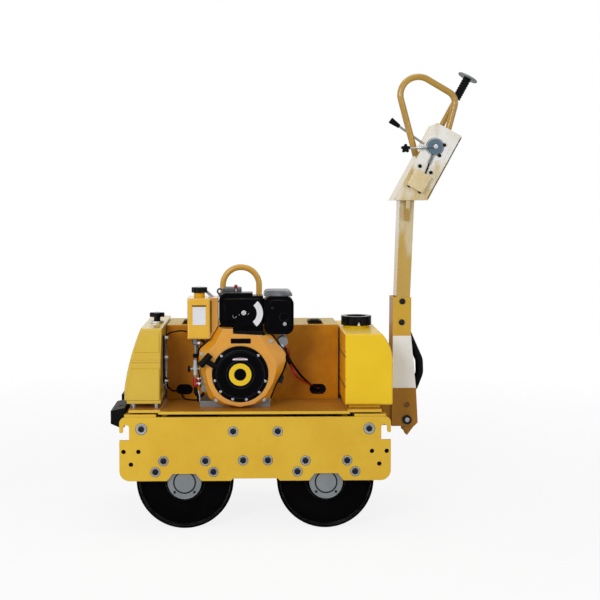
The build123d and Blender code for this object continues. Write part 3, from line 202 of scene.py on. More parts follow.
def make_material(name, facts, other=None, where=None, corner=2.5, coat=0.0, specular=0.3, on=""):
    """A material of one finish, or of two where a mask of the place tells them apart.

    where(tree, place) gives that mask, 1 where the other finish shows. corner is the radius in mm
    that edges look rounded to. on names the frame's nodes that wear it.
    """
    material, tree, shader, place = new_material(name)
    bevel = add_node(tree, "ShaderNodeBevel", Radius=corner * MM)
    bevel.samples = 4
    bevelled = bevel.outputs[0]
    normal = normal_of(tree)
    turn = tree.nodes.new("ShaderNodeVectorMath")
    turn.operation = "DOT_PRODUCT"
    tree.links.new(bevelled, turn.inputs[0])
    tree.links.new(normal, turn.inputs[1])
    edges = ramp_between(tree, turn.outputs["Value"], 0.985, 0.80)
    colour, *rest = finish_sockets(tree, facts, place, edges)
    if other:
        mask = where(tree, place)
        colour_2, *rest_2 = finish_sockets(tree, other, place, edges)
        colour = blend_colours(tree, mask, colour, colour_2)
        share = calculate(tree, "SUBTRACT", 1.0, mask)
        rest = [
            calculate(tree, "ADD", times(tree, share, first), times(tree, mask, second))
            for first, second in zip(rest, rest_2)
        ]
    rough, metal, height = rest
    relief = add_node(tree, "ShaderNodeBump", Strength=1.0, Distance=1.0, Height=height, Normal=bevelled)
    tree.links.new(colour, shader.inputs["Base Color"])
    tree.links.new(rough, shader.inputs["Roughness"])
    tree.links.new(relief.outputs[0], shader.inputs["Normal"])
    put(tree, shader.inputs["Metallic"], metal)
    shader.inputs["Coat Weight"].default_value = coat
    shader.inputs["Coat Roughness"].default_value = 0.12
    shader.inputs["Specular IOR Level"].default_value = specular
    for node in on.split():
        mesh = nodes[node].data
        mesh.materials.clear()
        mesh.materials.append(material)
    return material


def beyond(axis, limit, above=True):
    """A mask that is 1 past a limit in metres along an axis, for make_material."""
    operation = "GREATER_THAN" if above else "LESS_THAN"
    return lambda tree, place: calculate(tree, operation, part_of(tree, place, axis), limit)


def facing(axis, limit, above=True):
    """A mask that is 1 where the surface faces along an axis by more than a limit."""
    return lambda tree, place: beyond(axis, limit, above)(tree, normal_of(tree))


def rising(first, last):
    """A mask that grows from 0 at one height to 1 at another, in metres."""
    return lambda tree, place: ramp_between(tree, part_of(tree, place, "Z"), first, last)


def either(first, second):
    """The larger of two masks."""
    return lambda tree, place: calculate(tree, "MAXIMUM", first(tree, place), second(tree, place))


def ragged_patches(low, high):
    """A mask of ragged patches, more of them towards the low end, in metres up."""
    def mask(tree, place):
        fall = ramp_between(tree, part_of(tree, place, "Z"), high, low)
        patches = noise_at(tree, place, 16, 5.0, (1, 1, 0.35))
        mixed = calculate(tree, "ADD", patches, times(tree, fall, 0.26))
        return ramp_between(tree, mixed, 0.56, 0.74)
    return mask


# colour, deep colour, roughness, grain, edge colour, and what isn't usual
frame_finish = finish((226, 185, 52), FRAME_DEEP, 0.45, (520, 0.03), PALE_EDGE_WEAR_AND_HIGHLIGHT, tone=0.3, dust=0.03)
# a darker orange for the top faces of the deck: painted shade
deck_top_painted_shade = finish(
    (186, 124, 26), (132, 80, 16), 0.4, (520, 0.03), PALE_EDGE_WEAR_AND_HIGHLIGHT, tone=0.5, worn=0.4, dust=0.02
)
cover_finish = finish((206, 176, 74), FRAME_DEEP, 0.34, (420, 0.04), PALE_EDGE_WEAR_AND_HIGHLIGHT, tone=0.3, dust=0.06)
# a darker orange copy of the cover colour for its near wall: painted shade and bounced light in the recess
wall_painted_shade = finish(
    (212, 140, 18), (150, 84, 10), 0.36, (420, 0.04), PALE_EDGE_WEAR_AND_HIGHLIGHT, tone=0.45, dust=0.02, worn=0.35
)
tank_finish = finish(
    (218, 184, 58), FRAME_DEEP, 0.26, (300, 0.04), PALE_EDGE_WEAR_AND_HIGHLIGHT, tone=0.25, worn=0.6, dust=0.02, wave=(6, 0.8)
)
column_finish = finish(
    (202, 166, 80), (182, 138, 42), 0.26, (160, 0.05), PALE_EDGE_WEAR_AND_HIGHLIGHT, tone=0.45, stretch=(1, 1, 0.12)
)
pipe_finish = finish((194, 152, 56), (150, 112, 28), 0.3, (260, 0.01), PALE_EDGE_WEAR_AND_HIGHLIGHT, tone=0.5, worn=0.0)
hoop_finish = finish((222, 172, 72), (196, 142, 44), 0.28, (260, 0.04), PALE_EDGE_WEAR_AND_HIGHLIGHT, tone=0.4, worn=0.4)
# the junction box's gold is made pale and streaky: a painted sheen on gold paint
box_gold_and_painted_sheen = finish(
    (242, 230, 194), (212, 182, 114), 0.26, (90, 0.2), PALE_EDGE_WEAR_AND_HIGHLIGHT, tone=0.8, tone_cells=18,
    stretch=(1, 1, 0.3),
)
plastic_finish = finish(
    (246, 206, 28), (236, 184, 14), 0.38, (260, 0.05), (250, 224, 110), tone=0.25, worn=0.3, dust=0.03,
    wave=(9, 0.9),
)
engine_finish = finish(
    (228, 158, 38), (196, 124, 20), 0.24, (380, 0.03), (255, 228, 176), tone=0.3, worn=0.4, dust=0.02
)
fuel_finish = finish(
    (232, 178, 30), (208, 144, 16), 0.22, (380, 0.03), (255, 236, 190), tone=0.3, worn=0.45, dust=0.02
)
# the grey edge colour of the drums, given a large share, is a painted highlight along their rims
drum_finish = finish(
    (3, 3, 4), (10, 10, 9), 0.42, (240, 0.12), (122, 122, 128), tone=0.5, worn=0.8, dust=0.01,
    rough_spread=0.2,
)
# the grey edge colour of gloss black parts is a painted highlight along their edges
gloss_black = finish((3, 3, 5), (8, 8, 10), 0.2, (500, 0.03), (96, 98, 106), dust=0.03, worn=0.35)
matt_black = finish((8, 9, 9), (16, 17, 17), 0.5, (600, 0.08), (76, 78, 84), worn=0.4, dust=0.05)
rubber_finish = finish((9, 9, 10), (17, 17, 17), 0.62, (700, 0.1), (60, 60, 60), worn=0.3, dust=0.06)
steel_finish = finish(
    (168, 170, 172), (120, 122, 126), 0.34, (700, 0.05), (226, 228, 230), dust=0.02, metal=0.85
)
chrome_finish = finish(
    (214, 216, 220), (150, 152, 156), 0.14, (300, 0.02), (250, 250, 250), worn=0.3, dust=0.0, metal=1.0
)
cast_finish = finish(
    (128, 132, 134), (84, 86, 88), 0.5, (330, 0.22), (206, 208, 210), dust=0.04, metal=0.55
)
dark_finish = finish(
    (26, 29, 36), (12, 14, 18), 0.34, (600, 0.05), (104, 112, 124), worn=0.4, dust=0.02, metal=0.2
)
# the console's near-white colour with soft streaks: a painted sheen over gold paint
console_painted_sheen = finish(
    (250, 248, 242), (228, 218, 198), 0.2, (90, 0.35), (255, 252, 244), tone=0.6, tone_cells=14,
    wave=(22, 1.2), stretch=(1, 1, 0.3),
)
# the gold of the console where the painted sheen is left out
console_gold_without_sheen = finish(
    (222, 202, 150), (202, 172, 104), 0.24, (90, 0.35), (240, 216, 150), tone=0.6, tone_cells=12,
    stretch=(1, 1, 0.3),
)
bare_panel = finish(
    (252, 252, 252), (232, 230, 226), 0.5, (260, 0.05), tone=0.4, tone_cells=7, worn=0.1,
    stretch=(1, 1, 0.04),
)
# a deeper copy of the fuel tank colour for its part past the seam: painted shade
fuel_painted_shade = finish(
    (212, 146, 22), (186, 116, 12), 0.24, (380, 0.03), (255, 226, 160), tone=0.3, worn=0.4, dust=0.02
)
head_finish = finish(
    (92, 95, 99), (52, 54, 57), 0.42, (330, 0.2), (190, 192, 194), worn=0.6, dust=0.02, metal=0.35
)
# a deeper orange copy of the tank colour for faces looking along −X: painted shade with bounced orange
# light
tank_side_painted_shade = finish(
    (250, 176, 24), (226, 140, 10), 0.4, (260, 0.05), (250, 214, 90), tone=0.3, worn=0.4, dust=0.0
)
# a pale cream copy of the column gold: painted sheen
column_painted_sheen = finish(
    (220, 206, 170), (204, 180, 120), 0.24, (160, 0.05), PALE_EDGE_WEAR_AND_HIGHLIGHT, tone=0.6, tone_cells=12, worn=0.4,
    stretch=(1, 1, 0.12),
)
base_finish = finish((214, 171, 58), (198, 146, 34), 0.42, (520, 0.03), PALE_EDGE_WEAR_AND_HIGHLIGHT, tone=0.3, dust=0.03)
silver_finish = finish(
    (214, 222, 232), (176, 184, 196), 0.26, (500, 0.04), (240, 244, 250), dust=0.0, metal=0.3
)
guard_finish = finish(
    (132, 134, 138), (52, 54, 58), 0.36, (240, 0.12), (176, 178, 182), tone=0.8, tone_cells=20, dust=0.0,
    metal=0.5,
)
# a brown copy of the drawbar colour: painted shadow of the rear tank on the drawbar's low part
cheek_painted_shadow = finish(
    (176, 122, 22), (142, 88, 12), 0.42, (520, 0.03), PALE_EDGE_WEAR_AND_HIGHLIGHT, tone=0.4, worn=0.45, dust=0.02
)
hub_finish = finish(
    (138, 144, 147), (104, 110, 114), 0.42, (420, 0.1), (196, 198, 200), worn=0.6, dust=0.01, metal=0.35
)
red_finish = finish((168, 22, 26), (110, 12, 16), 0.35, (500, 0.04), worn=0.35)
paper_finish = finish(
    (232, 232, 236), (200, 202, 212), 0.5, (500, 0.02), tone=0.3, tone_cells=30, worn=0.05, dust=0.0
)
ring_finish = finish((240, 204, 40), (226, 174, 20), 0.4, (500, 0.02), dust=0.0, worn=0.35)
dial_finish = finish((90, 112, 126), (66, 84, 98), 0.36, (500, 0.05), (170, 182, 190), worn=0.6, metal=0.4)
clear_finish = finish((196, 204, 206), (150, 158, 162), 0.18, (300, 0.03), worn=0.35)

# the frame's own pieces
front_side = facing("X", -0.6, above=False)
make_material("frame_paint", frame_finish, on="side_plate_left side_plate_right")
top_side = facing("Z", 0.5)
# the top faces of the deck and beams take the darker copy: painted shade
make_material(
    "deck_paint", frame_finish, deck_top_painted_shade, top_side, on="deck front_beam mid_beam rear_beam tank_tray"
)
near_side = facing("Y", -0.5, above=False)
# the near faces of the cover take the darker copy: painted shade
make_material("cover_paint", cover_finish, wall_painted_shade, near_side, corner=4, specular=0.15, on="cover")
make_material("tank_paint", tank_finish, coat=0.35, corner=5, on="front_tank")
# ragged patches of painted sheen, more of them towards the column's top
column_sheen_patches = ragged_patches(1.42, 1.12)
make_material("column_paint", column_finish, column_painted_sheen, column_sheen_patches, corner=3, coat=0.35, on="drawbar_column")
make_material("hoop_paint", hoop_finish, coat=0.3, corner=2, on="lifting_hoop")
make_material("box_paint", box_gold_and_painted_sheen, coat=0.5, corner=3, on="junction_box")
# the rear tank's faces looking along −X take the deeper copy: painted shade
make_material("tank_plastic", plastic_finish, tank_side_painted_shade, front_side, corner=6, coat=0.1, on="rear_tank")
# the drawbar's low part and its faces looking along −X take the brown copy: painted shadow and shade
shadowed_low_or_front = either(rising(0.8, 0.62), front_side)
make_material("base_paint", base_finish, cheek_painted_shadow, shadowed_low_or_front, on="drawbar_base hinge_bracket")
make_material("guard_metal", guard_finish, corner=5, specular=0.5, on="muffler_guard")
make_material("head_metal", head_finish, corner=2, on="cylinder_head")
make_material("engine_paint", engine_finish, coat=0.7, corner=11, on="engine_shroud")
fuel_seam_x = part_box("fuel_tank")[0].x + 103 * MM
# the fuel tank past the seam takes the deeper copy: painted shade
past_seam = beyond("X", fuel_seam_x)
make_material("fuel_paint", fuel_finish, fuel_painted_shade, past_seam, corner=8, coat=0.7, on="fuel_tank")
make_material("drum_paint", drum_finish, corner=3, specular=0.02, on="front_drum rear_drum")
# the console wears the painted sheen, with gold in ragged patches towards the bottom and on faces looking
# along −X, where the missing sheen is painted shade
gold_patches_or_front = either(ragged_patches(1.43, 1.72), front_side)
make_material("console_sheen_paint", console_painted_sheen, console_gold_without_sheen, gold_patches_or_front, corner=3, coat=0.5, on="console")
make_material("dial_metal", dial_finish, corner=1.5, specular=0.5, on="throttle_dial")
dial_end = beyond("X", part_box("throttle_dial")[0].x - 2 * MM)
make_material(
    "lever_metal", steel_finish, dial_finish, dial_end, corner=1, specular=0.5, on="throttle_lever"
)
# cap, height of its neck in mm, finish of the neck, corner
caps = (
    ("tank_cap", 9, chrome_finish, 2.5),
    ("fuel_cap", 20, fuel_finish, 3),
    ("tank_lid", 10, plastic_finish, 3),
)
for cap, neck, neck_finish, corner in caps:
    under_cap = beyond("Z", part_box(cap)[0].z + neck * MM, above=False)
    make_material(f"{cap}_finish", gloss_black, neck_finish, under_cap, corner=corner, specular=0.1, on=cap)

# the new pieces, and those of the frame's that look like them
pipe_paint = make_material("pipe_paint", pipe_finish, coat=0.5, corner=2, on="hand_loop push_rod")
emboss_paint = make_material("emboss_paint", tank_finish, coat=0.35, corner=0.8)
# a brown for the rear tank's grooves: painted shade in the grooves
groove_shade_paint = make_material("groove_shade_paint", cheek_painted_shadow, corner=1, specular=0.2)
motor_silver = make_material("motor_silver", silver_finish, corner=2, coat=0.5, specular=0.5)
black_gloss = make_material(
    "black_gloss", gloss_black, corner=5, specular=0.03, on="air_cleaner muffler recoil_starter"
)
black_plastic = make_material(
    "black_plastic", matt_black, corner=2, specular=0.06,
    on="bumpers push_grip travel_knob throttle_knob starter_grip scrapers",
)
black_rubber = make_material(
    "black_rubber", rubber_finish, corner=3, specular=0.06,
    on="isolators control_hoses throttle_cable starter_cable engine_cables",
)
bare_steel = make_material("bare_steel", steel_finish, corner=1, specular=0.5, on="tank_feet travel_lever")
chrome = make_material("chrome", chrome_finish, corner=1, specular=0.5)
cast_metal = make_material(
    "cast_metal", cast_finish, corner=2, specular=0.5,
    on="engine_base engine_block injection_pump starter_motor stop_disc",
)
dark_steel = make_material("dark_steel", dark_finish, corner=1, specular=0.15, on="pivot_pin")
hubs = " ".join(name for name in nodes if name.startswith("hub_"))
hub_metal = make_material("hub_metal", hub_finish, corner=1.5, on=hubs)
bare_plate = make_material("bare_plate", bare_panel, corner=0.5)
red_plastic = make_material("red_plastic", red_finish, corner=1)
blank_label = make_material("blank_label", paper_finish, corner=0.3)
yellow_ring = make_material("yellow_ring", ring_finish, corner=0.3, specular=0.2)
clear_plastic = make_material("clear_plastic", clear_finish, coat=0.4, corner=1, specular=0.5)


# ==== shapes
RIGHT = (1, 0, 0)
LEFT = (-1, 0, 0)
BACK = (0, 1, 0)
FRONT = (0, -1, 0)
UP = (0, 0, 1)
DOWN = (0, 0, -1)
SHARP_EDGE = radians(32)
# slot names that build works out for a piece that states none, bare_steel for other materials; build
# doesn't give the piece this slot
SLOTS = {
    black_rubber: "black_rubber",
    black_plastic: "black_plastic",
    black_gloss: "black_plastic",
    cast_metal: "cast_metal",
    emboss_paint: "frame_paint",
    pipe_paint: "frame_paint",
}


def mm(*values):
    """A point in metres from mm."""
    return Vector(values) * MM


def square_to(axis, across=None):
    """Two unit directions square to an axis, the first as near to across as it can be."""
    axis = Vector(axis).normalized()
    across = Vector(across or (RIGHT if abs(axis.x) < 0.9 else BACK))
    first = (across - axis * across.dot(axis)).normalized()
    return first, axis.cross(first)


def ring_at(middle, first, second, radius, sides, start=0.0):
    """A ring of points in metres about a middle; the radius is in mm."""
    turns = [start + 2 * pi * i / sides for i in range(sides)]
    return [middle + (first * cos(t) + second * sin(t)) * radius * MM for t in turns]


def add_loops(shape, loops, capped=False):
    """Faces between rings of points; a ring of one point is a tip."""
    rings = [[shape.verts.new(point) for point in loop] for loop in loops]
    for low, high in zip(rings, rings[1:]):
        count = max(len(low), len(high))
        for i in range(count):
            j = (i + 1) % count
            if len(low) == 1:
                shape.faces.new((low[0], high[j], high[i]))
            elif len(high) == 1:
                shape.faces.new((low[i], low[j], high[0]))
            else:
                shape.faces.new((low[i], low[j], high[j], high[i]))
    if capped:
        shape.faces.new(rings[-1])
        shape.faces.new(rings[0][::-1])


def add_turned(shape, centre, axis, profile, sides=32, start=0.0):
    """A form turned about an axis, from (radius, height) pairs in mm; radius 0 closes it."""
    axis = Vector(axis).normalized()
    first, second = square_to(axis)
    loops = []
    for radius, height in profile:
        middle = Vector(centre) + axis * height * MM
        loops.append(ring_at(middle, first, second, radius, sides, start) if radius else [middle])
    add_loops(shape, loops)


def add_prism(shape, centre, axis, across, outline, depth, chamfer):
    """A plate from an outline of (across, up) pairs in mm, its top edges cut by the chamfer."""
    axis = Vector(axis).normalized()
    first, second = square_to(axis, across)
    middle = Vector((sum(p[0] for p in outline), sum(p[1] for p in outline))) / len(outline)
    loops = []
    for height, inset in ((0.0, 0.0), (depth - chamfer, 0.0), (depth, chamfer)):
        loop = []
        for point in outline:
            away = Vector(point) - middle
            spot = middle + away * (1 - inset / max(away.length, inset * 2, 0.001))
            loop.append(Vector(centre) + (first * spot.x + second * spot.y + axis * height) * MM)
        loops.append(loop)
    add_loops(shape, loops, capped=True)


def add_tube(shape, route, radius, sides=12, ends=True):
    """A round bar along a route in metres; the radius is in mm."""
    padded = [route[0], *route, route[-1]]
    ways = [(after - before).normalized() for before, after in zip(padded, padded[2:])]
    first, _ = square_to(ways[0])
    loops = []
    for point, way in zip(route, ways):
        first = (first - way * first.dot(way)).normalized()
        loops.append(ring_at(point, first, way.cross(first), radius, sides))
    if ends:
        loops = [[route[0]], *loops, [route[-1]]]
    add_loops(shape, loops)


def arc(radius, start, end, steps=20):
    """Places in mm on a circle, between two angles in degrees."""
    turns = [radians(start + (end - start) * i / steps) for i in range(steps + 1)]
    return [(radius * cos(t), radius * sin(t)) for t in turns]


def sector(inner, outer, start, end):
    """The outline in mm of a piece of a ring, between two angles in degrees."""
    return arc(outer, start, end) + arc(inner, start, end)[::-1]


def rounded(width, height, radius, steps=5):
    """The outline in mm of a rectangle with rounded corners, about its middle."""
    outline = []
    for x, y, start in ((1, 1, 0), (-1, 1, 90), (-1, -1, 180), (1, -1, 270)):
        middle_x = x * (width / 2 - radius)
        middle_y = y * (height / 2 - radius)
        outline += [(middle_x + u, middle_y + v) for u, v in arc(radius, start, start + 90, steps)]
    return outline


def collar(middle, rings):
    """Loops from outlines in mm that face the near side, each with its depth in mm."""
    return [[middle + mm(x, depth, z) for x, z in outline] for outline, depth in rings]


def scaled(profile, factor):
    """A profile with its radii made larger or smaller."""
    return [(radius * factor, height) for radius, height in profile]


def smooth_route(points, steps=8):
    """A round curve through the points, in metres."""
    padded = [2 * points[0] - points[1], *points, 2 * points[-1] - points[-2]]
    route = []
    for a, b, c, d in zip(padded, padded[1:], padded[2:], padded[3:]):
        for k in range(steps):
            t = k / steps
            square = (2 * a - 5 * b + 4 * c - d) * t**2
            cube = (3 * b - a - 3 * c + d) * t**3
            route.append(0.5 * (2 * b + (c - a) * t + square + cube))
    return [*route, points[-1]]


def route_from(start, points):
    """A round curve through points given in mm from a start."""
    return smooth_route([start + mm(*point) for point in points])


def add_object(name, data):
    """A new object in the scene."""
    thing = bpy.data.objects.new(name, data)
    bpy.context.scene.collection.objects.link(thing)
    return thing


def build(name, material, *steps, slot=None, body="chassis"):
    """A finished piece that rides on a body; each step is an add_ function and what follows its shape."""
    shape = bmesh.new()
    for add, *values in steps:
        add(shape, *values)
    bmesh.ops.recalc_face_normals(shape, faces=shape.faces)
    for face in shape.faces:
        face.smooth = True
    for edge in shape.edges:
        edge.smooth = len(edge.link_faces) == 2 and edge.calc_face_angle(0.0) < SHARP_EDGE
    mesh = bpy.data.meshes.new(name)
    shape.to_mesh(mesh)
    shape.free()
    mesh.materials.append(material)
    piece = add_object(name, mesh)
    slot = slot or SLOTS.get(material, "bare_steel")
    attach(piece, body)


def outward(place):
    """The direction away from the middle plane."""
    return FRONT if place[1] < 0 else BACK


def turned(name, material, places, profile, sides=32, start=0.0, axis=None, **where):
    """One piece of like turned forms at several places, facing outward if no axis is given."""
    steps = [(add_turned, place, axis or outward(place), profile, sides, start) for place in places]
    build(name, material, *steps, **where)


def plate(name, material, spot, outline, depth, chamfer, across=RIGHT, **where):
    """A piece that is one plate facing the near side."""
    build(name, material, (add_prism, spot, FRONT, across, outline, depth, chamfer), **where)


def end_plate(spot, side, outline, middle, depth, chamfer):
    """A step for a plate facing out to a side, from an outline in mm along X and Z and its middle."""
    corners = [((x - middle[0]) * -side, z - middle[1]) for x, z in outline]
    return add_prism, spot, (0, side, 0), (-side, 0, 0), corners, depth, chamfer


def front_middle(node):
    """The middle of the near side of a node's box."""
    low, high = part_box(node)
    return Vector(((low.x + high.x) / 2, low.y, (low.z + high.z) / 2))


bpy.context.view_layer.update()
trees = {}


def touch(node, x, z, side=-1):
    """Where a line along Y at x and z, in metres, first meets a node from that side."""
    if node not in trees:
        trees[node] = BVHTree.FromObject(nodes[node], bpy.context.evaluated_depsgraph_get())
    hit = trees[node].ray_cast(Vector((x, side * 2.0, z)), Vector((0, -side, 0)))[0]
    if hit is None:
        raise ValueError(f"{node} isn't met at {x:.3f}, {z:.3f}")
    return hit


# ==== side plates
both_sides = (-1, 1)
named_sides = ((-1, "left"), (1, "right"))
plate_low, plate_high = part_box("side_plate_left")
plate_face = -plate_low.y
plate_back = plate_face - 12 * MM


def on_plates(places):
    """The points on the outer faces of both side plates at places along and up, in metres."""
    return [(x, side * plate_face, z) for x, z in places for side in both_sides]


axles = {end: joints[f"{end}_drum_spin"] for end in ("front", "rear")}
carrier_bolts = ((-90.5, 96.5), (90.5, 96.5), (-125.5, 49), (125.5, 49))  # along, up from the axle, mm
middle_bolts = ((53.6, 0.311), (96.6, 0.437))  # mm along from the middle, metres up
corner_along = 94.5 * MM
corner_up = 0.448
plate_bolts = [(axle.x + x * MM, axle.z + z * MM) for axle in axles.values() for x, z in carrier_bolts]
plate_bolts += [(side * along * MM, up) for along, up in middle_bolts for side in both_sides]
bolt_places = on_plates(plate_bolts)
corner_x = (plate_low.x + corner_along, plate_high.x - corner_along)
corner_places = on_plates([(x, corner_up) for x in corner_x])
corner_scale = 1.15
washer = ((21, -1), (21, 1.6), (20.2, 2.6), (18.4, 3), (14.6, 1.9), (12.5, 1.7), (0, 1.7))
bolt_head = (
    (14.5, 1), (14.5, 3), (13.2, 3.6), (12.8, 4.2), (12.6, 9.2), (11.2, 10.6), (4.8, 10.9), (0, 10.9),
)
# thin black rings just larger than the washers: a painted shadow outline round them
washer_shadow_ring = ((22.2, -1), (22.2, 0.6), (20.5, 0.8), (0, 0.8))
turned("plate_washer_shadows", black_rubber, bolt_places, washer_shadow_ring)
turned("corner_washer_shadows", black_rubber, corner_places, scaled(washer_shadow_ring, corner_scale))
turned("plate_washers", bare_steel, bolt_places, washer)
turned("corner_washers", bare_steel, corner_places, scaled(washer, corner_scale))
turned("plate_bolt_heads", dark_steel, bolt_places + corner_places, bolt_head, 6, 0.3)

lug_along = 50 * MM
lug_z = plate_low.z + 109 * MM
# dark discs behind the lug holes: a dark sheet for the painted shade inside the holes
lug_hole_shades = [
    Vector((lug_x, side * plate_back, lug_z)) + mm(x, 0, z)
    for lug_x in (plate_low.x + lug_along, plate_high.x - lug_along)
    for x, z in arc(37, 30, 270, 2)
    for side in both_sides
]
turned("lug_hole_shades", dark_steel, lug_hole_shades, ((16, 0.5), (16, -14), (0, -14)), 20)

# ==== hubs
hub_rim_radius = 56  # where the flat of the rim is met, mm
hub_screw_circle = 60.6
hub_screws = []
hub_centres = []
for end, axle in axles.items():
    for side, side_name in named_sides:
        hub = f"hub_{end}_{side_name}"
        rim_spot = touch(hub, axle.x + hub_rim_radius * MM, axle.z, side)
        hub_centres.append(rim_spot - mm(hub_rim_radius, 0, 0))
        for x, z in arc(hub_screw_circle, 45, 315, 3):
            hub_screws.append(touch(hub, axle.x + x * MM, axle.z + z * MM, side))
hub_screw = ((5.6, -0.5), (5.6, 2.2), (4.8, 3), (2.6, 3), (2.4, 1.4), (0, 1.4))
turned("hub_screws", dark_steel, hub_screws, hub_screw, 16)
hub_ring = ((72.4, -0.5), (72.4, 1.2), (70.6, 2), (68.8, 1.2), (68.8, -0.5))
turned("hub_rims", hub_metal, hub_centres, hub_ring, 72)
cap_ring = (
    (49.5, -0.5), (49.5, 1.6), (48.4, 2.3), (46.2, 2.3), (44.8, 2.6), (43.4, 2.2), (43.4, 1),
)
turned("hub_cap_rims", dark_steel, hub_centres, cap_ring, 72)

# ==== engine
crank = front_middle("recoil_starter")
shroud_front = Vector((crank.x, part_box("engine_shroud")[0].y, crank.z))


def by_crank(x, z, node="recoil_starter"):
    """The point on a node's front at a place in mm from the crank."""
    return touch(node, crank.x + x * MM, crank.z + z * MM)


ring = ((49, -0.3), (49, 0.5), (48.4, 0.9), (27.4, 0.9), (26.8, 0.5), (26.8, -0.3))
turned("starter_ring", yellow_ring, [crank], ring, 72, slot="engine_paint")

label = by_crank(0, 68)
label_outline = ((-34, -4.5), (34, -4.5), (31, 1.5), (16, 4.2), (0, 5), (-16, 4.2), (-31, 1.5))
band_outline = ((-24, -1), (24, -1), (20, 1), (0, 2.6), (-20, 1))
plate("starter_label", blank_label, label, label_outline, 0.8, 0.3)
plate("starter_label_band", red_plastic, label + mm(0, -0.7, 0.6), band_outline, 0.6, 0.2)

beads = []
# radius of the bead, radius of its bar, and where the flat that it lies on is met
for radius, size, flat_radius in ((106, 1.5, 108), (61, 1.2, 80)):
    bead_y = by_crank(0, flat_radius).y
    bead = [Vector((crank.x + x * MM, bead_y, crank.z + z * MM)) for x, z in arc(radius, 0, 360, 72)]
    beads.append((add_tube, bead, size, 10, False))
build("starter_beads", dark_steel, *beads, slot="black_steel")

screw = (
    (6.2, -0.5), (6.2, 0.8), (5.4, 1.4), (4.4, 1.5), (4.3, 3.4), (3.6, 4.2), (1.8, 4.4), (0, 3.6),
)
screw_circle = 114.5
screw_turns = [radians(turn) for turn in (46, 135.5, 194, 221.5, 253.5, 283.5, 316.5, 344.6)]
starter_screws = [by_crank(screw_circle * cos(t), screw_circle * sin(t)) for t in screw_turns]
turned("starter_screws", bare_steel, starter_screws, screw, 14)

shroud_places = ((135, 141.8), (-167, 86), (-106, -116), (104, -114))
shroud_screws = [by_crank(x, z, "engine_shroud") for x, z in shroud_places]
large_screw = (
    (10.5, -1.5), (10.5, 1.2), (9.6, 2), (7.4, 2), (7.3, 5), (6.4, 6), (2.4, 6.2), (0, 5.4),
)
turned("shroud_screws", bare_steel, shroud_screws, large_screw, 24)

badge = by_crank(2.5, 145.7, "engine_shroud")
plate("shroud_badge", black_gloss, badge + mm(0, 1, 0), rounded(88, 22, 3), 2.6, 0.6)
rim_outer = rounded(86, 20, 3)
rim_inner = rounded(84, 18, 2)
rim_rings = ((rim_outer, -1.4), (rim_outer, -2.1), (rim_inner, -2.1), (rim_inner, -1.4))
build("shroud_badge_rim", dark_steel, (add_loops, collar(badge, rim_rings)))

# a black tube down the shroud's right side: partly a gasket, partly painted shade of the gap between shroud
# and block
dark_line_depth = 44
dark_line_points = (
    (131, 176), (150, 158), (181, 116), (205, 94), (206, 55), (192, 9), (160, -49), (134, -114),
)
dark_line_route = route_from(shroud_front, [(x, dark_line_depth, z) for x, z in dark_line_points])
build("shroud_dark_line", black_rubber, (add_tube, dark_line_route, 3.4, 8))

# ---- fuel tank
tank_low, tank_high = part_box("fuel_tank")
sticker = touch("fuel_tank", tank_low.x + 52 * MM, tank_low.z + 102 * MM)
plate("tank_plate", blank_label, sticker, rounded(57, 78, 2), 0.7, 0.2)
plate("tank_plate_band", black_gloss, sticker + mm(0, 0, 44), rounded(62, 5, 1.5), 1, 0.3)
seam_y = tank_low.y + 26 * MM
tank_seam = [Vector((fuel_seam_x, seam_y, z)) for z in (tank_low.z + 26 * MM, tank_high.z - 12 * MM)]
build("tank_seam", black_rubber, (add_tube, tank_seam, 1.7, 10))

# ---- fuel cock and pipes, down from the tank
cock_top = tank_low + mm(32, 62, 4)
# name, material, sides, radii and heights in mm down from the top
cock_parts = (
    ("cock_neck", cast_metal, 6, ((9, 0), (9, 6), (15, 8), (15, 30), (12, 34), (8, 36), (8, 46), (0, 46))),
    ("cock_pipe", bare_steel, 12, ((3.6, 40), (3.6, 240), (0, 240))),
    ("cock_clamp", black_rubber, 14, ((4, 74), (9.5, 76), (11, 84), (9, 92), (4, 94))),
    (
        "cock_body", clear_plastic, 18,
        ((4, 102), (8.5, 104), (8.5, 126), (11, 128), (11, 146), (8.5, 148), (8.5, 168), (4, 172)),
    ),
    (
        "cock_red", red_plastic, 14,
        ((4, 180), (10, 182), (12, 190), (10, 206), (12.5, 212), (9, 222), (0, 223)),
    ),
    ("cock_hose", black_rubber, 14, ((6, 212), (8, 216), (8, 250), (0, 250))),
)
for name, material, sides, profile in cock_parts:
    slot = "cast_metal" if material is cast_metal else "bare_steel"
    turned(name, material, [cock_top], profile, sides, axis=DOWN, slot=slot)
stem = cock_top - mm(0, 0, 142)
build(
    "cock_stem", bare_steel,
    (add_turned, stem, LEFT, ((4, 0), (4, 20), (5, 21), (5, 24), (0, 24)), 14),
    (add_turned, stem, RIGHT, ((4, 0), (4, 14), (7, 15), (7, 22), (0, 22)), 6),
)
knob = ((6, 22), (13, 23), (14, 26), (14, 31), (12, 33), (0, 33))
turned("cock_knob", black_plastic, [stem], knob, 18, axis=LEFT)
union = ((5, -8), (8, -6), (8, 6), (6.4, 8), (0, 9))
nut = ((5.5, -12), (5.5, 14), (0, 14))
unions = []
for x, z, size in ((16, -26, 1), (17, -206, 0.9), (14, -184, 0.7)):
    spot = cock_top + mm(x, -4, z)
    unions.append((add_turned, spot, FRONT, scaled(union, size), 16))
    unions.append((add_turned, spot, RIGHT, scaled(nut, size), 6))
build("pipe_fittings", chrome, *unions)

